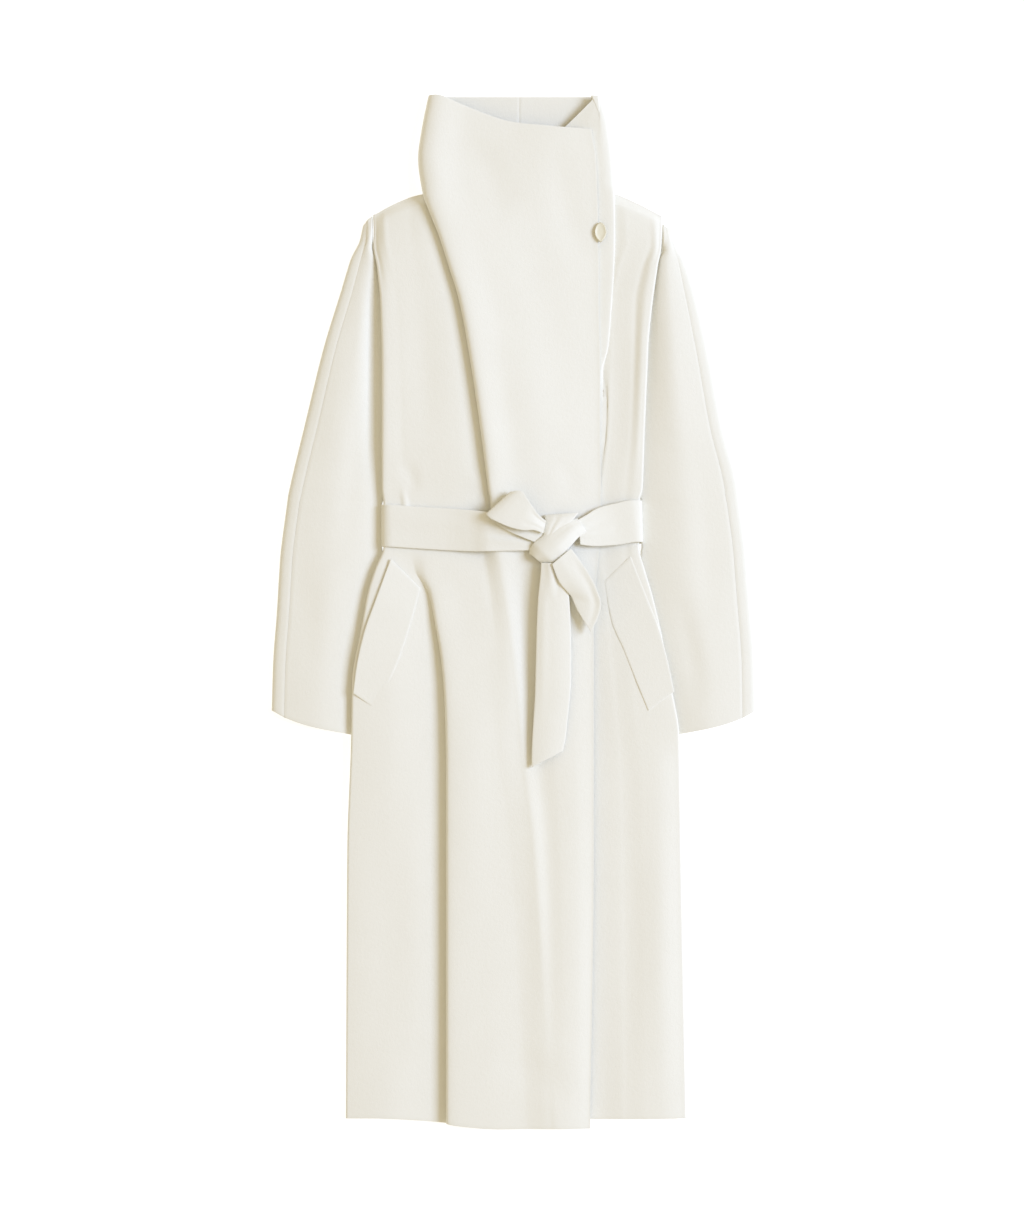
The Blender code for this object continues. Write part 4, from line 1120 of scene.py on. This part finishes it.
def horn():
    """Streaked horn with a satin gloss, and painted shade that darkens it outwards from the button's middle.
    """
    material, shader, start = new_material("horn", {"Roughness": 0.35})
    place = start.make("ShaderNodeTexCoord", {}, out=3)
    middle = tuple(value * MM for value in BUTTON_MIDDLE)
    centred = start.make("ShaderNodeVectorMath", {0: place, 1: middle}, operation="SUBTRACT")
    across_it = start.make("ShaderNodeVectorMath", {0: centred, 1: (120, 74, 0)}, operation="MULTIPLY")
    out = start.make("ShaderNodeVectorMath", {0: across_it}, out=1, operation="LENGTH")
    lengthwise = start.make("ShaderNodeMapping", {"Vector": place, "Scale": (1, 0.15, 1)})
    streaks = noise(start, lengthwise, 700, 4, 0.6)
    # Painted shade: the colour darkens towards the button's rim, for the shadow at its edge; the streaks are
    # the horn's own.
    painted_rim_shade = start.make("ShaderNodeMapRange", {"Value": out, "From Min": 0.78, "From Max": 1.02})
    streaks_and_rim_shade = painted_rim_shade * 0.7 + streaks * 0.3
    colour = start.make("ShaderNodeMix", {0: streaks_and_rim_shade, 6: HORN_PALE, 7: HORN_STREAK_AND_SHADE}, out=2, data_type="RGBA")
    link(colour, shader, "Base Color")
    link(0.3 + streaks * 0.2, shader, "Roughness")
    bump = start.make("ShaderNodeBump", {"Height": streaks, "Strength": 0.25, "Distance": 0.0003})
    link(bump, shader, "Normal")
    return material


finishes = {"cloth": wool(), "horn": horn()}
for name, piece in pieces.items():
    piece.data.materials.append(finishes[name.split("_")[0]])

# %% [markdown]
# ## What each piece stands for
# Every piece moves with the coat's one body, and stands for the solid that it covers. Each strip of cloth is
# also listed with the size it was cut to, and its area is printed beside that of the cut.

# %% Pieces and their solids
# Each cloth, the width and length of its blank and, where it tapers, the area of the cut. The cloths of the
# knot stand for one solid, and each of the others for its own
CUTS = (
    ("front_right", 0.66, 1.42, 0.55),
    ("front_left", 0.60, 1.42, 0.50),
    ("back", 0.46, 1.26, 0.50),
    ("sleeve_right_front", 0.16, 0.71, 0.08),
    ("sleeve_right_back", 0.18, 0.71, 0.09),
    ("sleeve_left_front", 0.16, 0.71, 0.08),
    ("sleeve_left_back", 0.18, 0.71, 0.09),
    ("belt_band", 0.057, 0.74, None),
    ("belt_loop", 0.05, 0.16, 0.0062),
    ("belt_long_end", 0.048, 0.265, None),
    ("belt_short_end", 0.04, 0.11, None),
    ("knot_wrap", 0.036, 0.085, None),
    ("knot_root", 0.03, 0.045, None),
    ("pocket_welt_right", 0.045, 0.18, None),
    ("pocket_welt_left", 0.045, 0.18, None),
)
for name, width, length, area in CUTS:
    piece = pieces[f"cloth_{name}"]
    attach(piece, "root")
    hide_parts("belt_knot" if name.startswith("knot") else name)
    seen = sum(face.area for face in piece.data.polygons)
    print(f"{name}: {seen:.4f} m2 of a cut of {area or width * length:.4f}")
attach(pieces["horn_button"], "root")
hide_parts("button")

# %% [markdown]
# ## Table, light and camera
# White wool on white shows only by its shadows, so the light decides everything. One large soft lamp stands
# low at the wearer's left, the coat's +X side, and a warm, even fill comes from all round. The table is a
# matt white sheet that glows a little, so it stays white beside the coat. The camera looks straight down.

# %% The table
TABLE_DROP = 0.0004  # metres, as is the next
TABLE_HALF = 12.0


def white_table():
    """A large square just below the coat, matt white and faintly glowing."""
    corners = np.array([[-1, -1, 0], [1, -1, 0], [1, 1, 0], [-1, 1, 0]], float) * TABLE_HALF
    corners[:, 2] = -TABLE_DROP
    table_top = mesh_of("floor", corners / MM, np.array([[0, 1, 2, 3]]))
    matt = {"Base Color": (0.5, 0.5, 0.5, 1), "Roughness": 0.95, "Specular IOR Level": 0.1}
    glow = {"Emission Color": (1, 1, 1, 1), "Emission Strength": 0.75}
    table_top.data.materials.append(new_material("matt_white", {**matt, **glow})[0])


white_table()

# %% The light
KEY_TURN = math.radians(12)  # from the coat's +X side, towards its collar
KEY_RISE = math.radians(40)
KEY_FAR = 9.0  # metres
KEY_SIZE = 3.9
KEY_POWER = 800.0
KEY_COLOUR = (0.564, 0.696, 1.0)
FILL_COLOUR = (1.0, 0.879, 0.635, 1)
FILL_STRENGTH = 0.694


def key_light():
    """A square lamp on a sphere about the coat's middle, facing it."""
    lamp = bpy.data.lights.new("key", "AREA")
    lamp.size = KEY_SIZE
    lamp.energy = KEY_POWER
    lamp.color = KEY_COLOUR
    key = add("key", lamp)
    flat = KEY_FAR * math.cos(KEY_RISE)
    key.location = (flat * math.cos(KEY_TURN), flat * math.sin(KEY_TURN), KEY_FAR * math.sin(KEY_RISE))
    key.rotation_euler = (0, math.pi / 2 - KEY_RISE, KEY_TURN)


key_light()
world = bpy.data.worlds.new("fill")
bpy.context.scene.world = world
world.use_nodes = True
fill = world.node_tree.nodes["Background"].inputs
fill["Color"].default_value = FILL_COLOUR
fill["Strength"].default_value = FILL_STRENGTH
bpy.context.scene.view_settings.view_transform = "Standard"

# %% The camera
VIEW_TALL = 1.6674  # metres of the table that the picture's height takes in
CAMERA_FAR = 4.5
SENSOR = 36.0
VIEW_MIDDLE = (-0.0027, -0.0014)
camera_data = bpy.data.cameras.new("camera")
camera_data.sensor_width = SENSOR
camera_data.lens = SENSOR * CAMERA_FAR / VIEW_TALL
camera = add("camera", camera_data)
camera.location = (*VIEW_MIDDLE, CAMERA_FAR)
bpy.context.scene.camera = camera
print("lens", round(camera_data.lens, 1), "mm")
